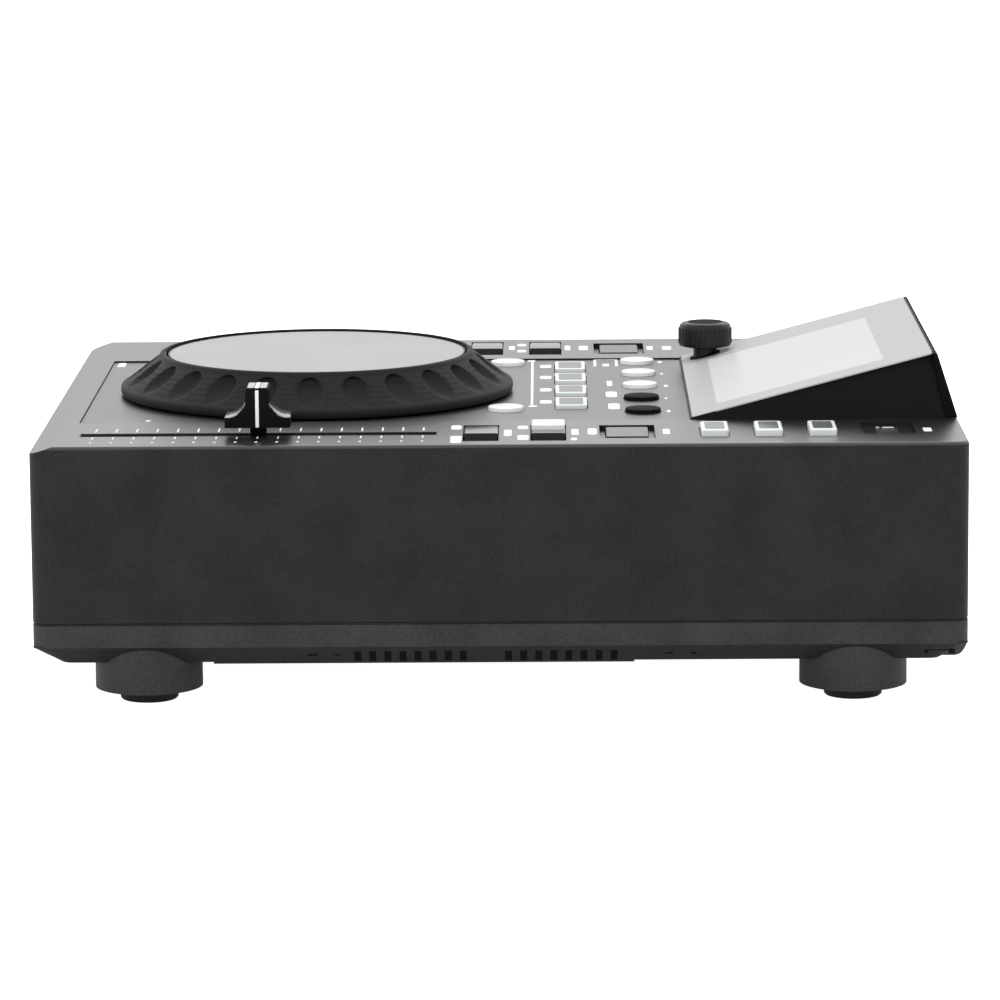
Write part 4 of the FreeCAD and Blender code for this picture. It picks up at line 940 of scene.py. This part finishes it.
def build_feet(materials):
    """Rubber pads with a ring groove under the feet."""
    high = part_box("feet")[1]
    pad_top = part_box("foot_pads")[1].z
    foot, pad = 16.5 * MM, 9.0 * MM
    bm = bmesh.new()
    for side_x, side_y in ((-1, -1), (-1, 1), (1, -1), (1, 1)):
        spot = Vector((side_x * (high.x - foot), side_y * (high.y - foot), 0))
        lathe(bm, spot, [(0, 0), (pad - 3.2 * MM, 0), (pad - 2.9 * MM, 0.7 * MM), (pad - 2.3 * MM, 0.7 * MM),
                         (pad - 2.0 * MM, 0), (pad - 0.6 * MM, 0), (pad - 0.1 * MM, 0.5 * MM),
                         (pad, pad_top - 0.3 * MM), (pad, pad_top), (0, pad_top)], 64)
    smooth_piece(bm, "foot_pad_rubber", 45, "chassis", materials["rubber"], ["foot_pads"])


VENT_FRONT, VENT_BACK, VENT_PITCH, VENT_WIDTH, VENT_COUNT = -43.5, 2.5, 4.6, 2.1, 8
PAN_TOP, PAN_FOOT = Vector((114.0, 19.0)) * MM, Vector((108.0, 13.3)) * MM
# Dark plates for the shade in the pan wall's short slots and side recess: painted shade.
PAN_SHADE_PLATES = [
    # y from, y to, z from, z to, in millimetres
    (-58.7, -55.9, 15.6, 16.3), (-50.4, -48.9, 15.6, 16.2), (50.2, 52.7, 15.6, 16.2), (58.2, 59.7, 15.5, 16.3),
    (129.2, 130.3, 15.2, 16.7), (136.6, 138.5, 15.1, 16.6), (130.0, 137.4, 16.4, 16.7),
]


def add_slope_shade_plate(bm, side, low_y, high_y, low_z, high_z):
    """A thin dark plate that lies on the pan's sloping side wall: painted shade in a slot, recess or vent."""
    slope = PAN_TOP - PAN_FOOT
    out = Vector((slope.y, -slope.x)).normalized()
    layers = []
    for lift in (-0.2 * MM, 0.03 * MM):
        layer = []
        for y, z in ((low_y, low_z), (high_y, low_z), (high_y, high_z), (low_y, high_z)):
            spot = PAN_FOOT + slope * ((z * MM - PAN_FOOT.y) / slope.y) + out * lift
            layer.append(bm.verts.new((side * spot.x, y * MM, spot.y)))
        layers.append(layer)
    bridge(bm, layers, capped=True)


def build_case_painted_shade(materials):
    """Dark plates on the pan's side walls: painted shade in its shallow slots and side recess, and painted shadow
    in its vents.
    """
    bm = bmesh.new()
    for side in (-1, 1):
        for mark in PAN_SHADE_PLATES:
            add_slope_shade_plate(bm, side, *mark)
        for first in (VENT_FRONT, VENT_BACK):
            for number in range(VENT_COUNT):
                y = first + VENT_PITCH * number
                add_slope_shade_plate(bm, side, y - VENT_WIDTH / 2, y + VENT_WIDTH / 2, 13.4, 17.2)
    mesh = mesh_from(bm, "pan_wall_painted_shade")
    piece("pan_wall_painted_shade", mesh, "chassis", materials["groove"])


def build_case_joints(materials):
    """The tongue that fills most of the seam, and the rounded foot of the pan's rear wall."""
    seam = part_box("lower_case")[1].z
    deep = 0.35 * MM
    bm = bmesh.new()
    wide, long = CASE_HIGH.x - CASE_LOW.x - 2 * deep, CASE_HIGH.y - CASE_LOW.y - 2 * deep
    add_ring(bm, round_rectangle(0, 0, wide, long, 4.6 * MM, 6),
             round_rectangle(0, 0, wide - 3 * MM, long - 3 * MM, 3.1 * MM, 6), seam - 0.05 * MM, seam + 0.55 * MM)
    smooth_piece(bm, "seam_tongue", 35, "chassis", materials["case"])

    back = CASE_HIGH.y
    profile = [(back - 8.3 * MM, 13.32), (back - 3.6 * MM, 13.32), (back - 2.3 * MM, 13.7), (back - 1.4 * MM, 14.6),
               (back - 0.7 * MM, 16.2), (back - 0.2 * MM, 18.0), (back - 0.04 * MM, 19.2), (back - 1.2 * MM, 18.6)]
    run, rise = PAN_TOP.x - PAN_FOOT.x, PAN_TOP.y - PAN_FOOT.y
    bm = bmesh.new()
    ends = []
    for side in (-1, 1):
        end = []
        for y, z in profile:
            half = PAN_FOOT.x + run * min(1.0, (z * MM - PAN_FOOT.y) / rise)
            end.append(bm.verts.new((side * (half - 4.2 * MM), y, z * MM)))
        ends.append(end)
    bridge(bm, ends, capped=True)
    smooth_piece(bm, "pan_rear_foot", 40, "chassis", materials["foot"])


# Finishes of the frame's own nodes


NODE_FINISH = {
    "case": ["upper_housing"],
    "foot": ["lower_case", "feet"],
    "panel": ["control_panel", "lock_bar", "source_bar"],
    "display_case": ["display_housing"],
    "lens": ["display_lens"],
    "plate": ["jog_plate"],
    "key_white": ["time_button", "loop_button", "mode_button_1", "mode_button_2", "mode_button_3",
                  "hot_cue_1", "hot_cue_2", "hot_cue_3", "hot_cue_4", "deck_key_1", "deck_key_2", "deck_key_3"],
    "key_black": ["mode_button_4", "mode_button_5", "cue_button", "play_button", "jog_hub", "jog_mount",
                  "disc_clamp", "turntable", "laser_sled", "power_switch", "disc_slot_frame"],
    "rubber": ["feed_roller"],
    "steel": ["jog_spindle", "jog_bearings", "fader_track", "encoder_spindle", "drive_frame", "drive_lid",
              "sled_rails", "sled_screw", "usb_socket"],
    "dark_steel": ["rear_panel", "spindle_motor", "case_screws"],
    "socket": ["rear_sockets", "power_inlet", "encoder_switch"],
    "board": ["main_board", "power_supply", "control_boards", "lcd_module"],
}


def dress_frame(materials):
    """Give every visible node of the frame its finish."""
    for finish, names in NODE_FINISH.items():
        for name in names:
            node = NODES[name]
            node.data.materials.clear()
            node.data.materials.append(materials[finish])
    # The pan's downward-facing faces take the darker copy of its plastic: painted shade.
    pan = NODES["lower_case"]
    pan.data.materials.append(materials["slope"])
    for face in pan.data.polygons:
        face.material_index = 1 if (pan.matrix_world.to_3x3() @ face.normal).normalized().z < -0.3 else 0


# Stage


CAMERA_PLACE = Vector((1.6368, 0.0146, 0.3280))
CAMERA_YAW = 0.0094
CAMERA_PITCH = 0.1716
CAMERA_ROLL = -0.0075
CAMERA_LENS = 183.86


def add_camera():
    ahead = Vector((-math.cos(CAMERA_YAW) * math.cos(CAMERA_PITCH),
                    -math.sin(CAMERA_YAW) * math.cos(CAMERA_PITCH), -math.sin(CAMERA_PITCH)))
    right = Vector((-math.sin(CAMERA_YAW), math.cos(CAMERA_YAW), 0))
    up = right.cross(ahead)
    turned_right = right * math.cos(CAMERA_ROLL) + up * math.sin(CAMERA_ROLL)
    turned_up = up * math.cos(CAMERA_ROLL) - right * math.sin(CAMERA_ROLL)
    data = bpy.data.cameras.new("photo_camera")
    data.lens = CAMERA_LENS
    data.sensor_width = 36.0
    data.clip_end = 20.0
    camera = bpy.data.objects.new("photo_camera", data)
    bpy.context.scene.collection.objects.link(camera)
    axes = Matrix((turned_right, turned_up, -ahead)).transposed()
    camera.matrix_world = Matrix.Translation(CAMERA_PLACE) @ axes.to_4x4()
    bpy.context.scene.camera = camera


def add_softbox(name, place, target, size, power, mirrored=False):
    data = bpy.data.lights.new(name, "AREA")
    data.shape = "RECTANGLE"
    data.size, data.size_y = size
    data.energy = power
    lamp = bpy.data.objects.new(name, data)
    bpy.context.scene.collection.objects.link(lamp)
    lamp.location = place
    lamp.rotation_euler = (Vector(target) - Vector(place)).to_track_quat("-Z", "Y").to_euler()
    lamp.visible_glossy = mirrored


def white_where_seen(tree, seen, mirrored, lit):
    """A strength for what the camera sees, one for what gloss mirrors and one for the light it gives."""
    path = tree.nodes.new("ShaderNodeLightPath")
    level = lit
    for ray, strength in (("Is Glossy Ray", mirrored), ("Is Camera Ray", seen)):
        level = mixed(tree.nodes, tree.links, path.outputs[ray], level, strength)
    return level


def add_world():
    world = bpy.data.worlds.new("white_room")
    bpy.context.scene.world = world
    world.use_nodes = True
    tree = world.node_tree
    backdrop = tree.nodes["Background"]
    backdrop.inputs["Color"].default_value = (1, 1, 1, 1)
    tree.links.new(white_where_seen(tree, 1.0, 0.88, 0.7), backdrop.inputs["Strength"])


def add_floor():
    bm = bmesh.new()
    add_slab(bm, round_rectangle(0, 0, 9, 9, 0.5, 6), -0.02, 0)
    floor = bpy.data.objects.new("floor", mesh_from(bm, "floor"))
    bpy.context.scene.collection.objects.link(floor)
    material, _, links, shader = new_material("pale_floor")
    shader.inputs["Base Color"].default_value = (0.85, 0.85, 0.85, 1)
    shader.inputs["Roughness"].default_value = 0.9
    shader.inputs["Specular IOR Level"].default_value = 0.1
    shader.inputs["Emission Color"].default_value = (1, 1, 1, 1)
    links.new(white_where_seen(material.node_tree, 1.0, 0.35, 0.05), shader.inputs["Emission Strength"])
    floor.data.materials.append(material)


def build_stage():
    scene = bpy.context.scene
    scene.view_settings.view_transform = "Standard"
    add_camera()
    add_world()
    add_floor()
    add_softbox("front_softbox", (1.5, -0.8, 1.2), (0, 0, 0.05), (1.4, 1.0), 16)
    add_softbox("top_softbox", (-0.3, 0.2, 1.6), (0, 0, 0.05), (1.6, 1.6), 14)
    add_softbox("far_softbox", (-1.7, 0.0, 1.05), (0, 0, 0.05), (2.4, 0.9), 4.6, True)


# Add-on classes


FINISHES = {}


class PLAYER_OT_materials(bpy.types.Operator):
    """Make the finishes and put them on the frame"""
    bl_idname = "player.materials"
    bl_label = "Finishes"

    def execute(self, context):
        FINISHES.update(make_materials())
        dress_frame(FINISHES)
        return {"FINISHED"}


class PLAYER_OT_wheel(bpy.types.Operator):
    """Build the jog wheel's grip and trim"""
    bl_idname = "player.wheel"
    bl_label = "Jog wheel"

    def execute(self, context):
        build_wheel(FINISHES)
        return {"FINISHED"}


class PLAYER_OT_fader(bpy.types.Operator):
    """Build the pitch fader's cap and marks"""
    bl_idname = "player.fader"
    bl_label = "Pitch fader"

    def execute(self, context):
        build_fader(FINISHES)
        return {"FINISHED"}


class PLAYER_OT_keys(bpy.types.Operator):
    """Build the keys' caps and windows, the rockers and the bars"""
    bl_idname = "player.keys"
    bl_label = "Keys"

    def execute(self, context):
        build_keys(FINISHES)
        return {"FINISHED"}


class PLAYER_OT_knob(bpy.types.Operator):
    """Build the push encoder's knob"""
    bl_idname = "player.knob"
    bl_label = "Encoder knob"

    def execute(self, context):
        build_knob(FINISHES)
        return {"FINISHED"}


class PLAYER_OT_display(bpy.types.Operator):
    """Build the display's cover and cowl, and the panel's face"""
    bl_idname = "player.display"
    bl_label = "Display"

    def execute(self, context):
        build_display(FINISHES)
        build_panel(FINISHES)
        return {"FINISHED"}


class PLAYER_OT_prints(bpy.types.Operator):
    """Print the white marks"""
    bl_idname = "player.prints"
    bl_label = "Printed marks"

    def execute(self, context):
        build_prints(FINISHES)
        return {"FINISHED"}


class PLAYER_OT_case(bpy.types.Operator):
    """Build the sockets' rings, foot pads, painted shade on the case and case joints"""
    bl_idname = "player.case"
    bl_label = "Case details"

    def execute(self, context):
        build_sockets(FINISHES)
        build_feet(FINISHES)
        build_case_painted_shade(FINISHES)
        build_case_joints(FINISHES)
        return {"FINISHED"}


class PLAYER_OT_stage(bpy.types.Operator):
    """Set up the floor, light and camera"""
    bl_idname = "player.stage"
    bl_label = "Stage"

    def execute(self, context):
        build_stage()
        return {"FINISHED"}


STEPS = (PLAYER_OT_materials, PLAYER_OT_wheel, PLAYER_OT_fader, PLAYER_OT_keys, PLAYER_OT_knob,
         PLAYER_OT_display, PLAYER_OT_prints, PLAYER_OT_case, PLAYER_OT_stage)


class PLAYER_PT_panel(bpy.types.Panel):
    """Sidebar panel with the finish settings and the build steps"""
    bl_idname = "PLAYER_PT_panel"
    bl_label = "Disc player"
    bl_space_type = "VIEW_3D"
    bl_region_type = "UI"
    bl_category = "Disc Player"

    def draw(self, context):
        for settings in (context.scene.player_finish, context.scene.player_sizes):
            for name in settings.__annotations__:
                self.layout.prop(settings, name)
        for step in STEPS:
            self.layout.operator(step.bl_idname)


CLASSES = (FinishSettings, SizeSettings, *STEPS, PLAYER_PT_panel)


def register():
    for item in CLASSES:
        bpy.utils.register_class(item)
    bpy.types.Scene.player_finish = bpy.props.PointerProperty(type=FinishSettings)
    bpy.types.Scene.player_sizes = bpy.props.PointerProperty(type=SizeSettings)


def unregister():
    del bpy.types.Scene.player_finish
    del bpy.types.Scene.player_sizes
    for item in reversed(CLASSES):
        bpy.utils.unregister_class(item)


def plain(box):
    return [[round(value, 6) for value in corner] for corner in box]


def main():
    register()
    for step in STEPS:
        space, name = step.bl_idname.split(".")
        getattr(getattr(bpy.ops, space), name)()


if __name__ == "__main__":
    main()
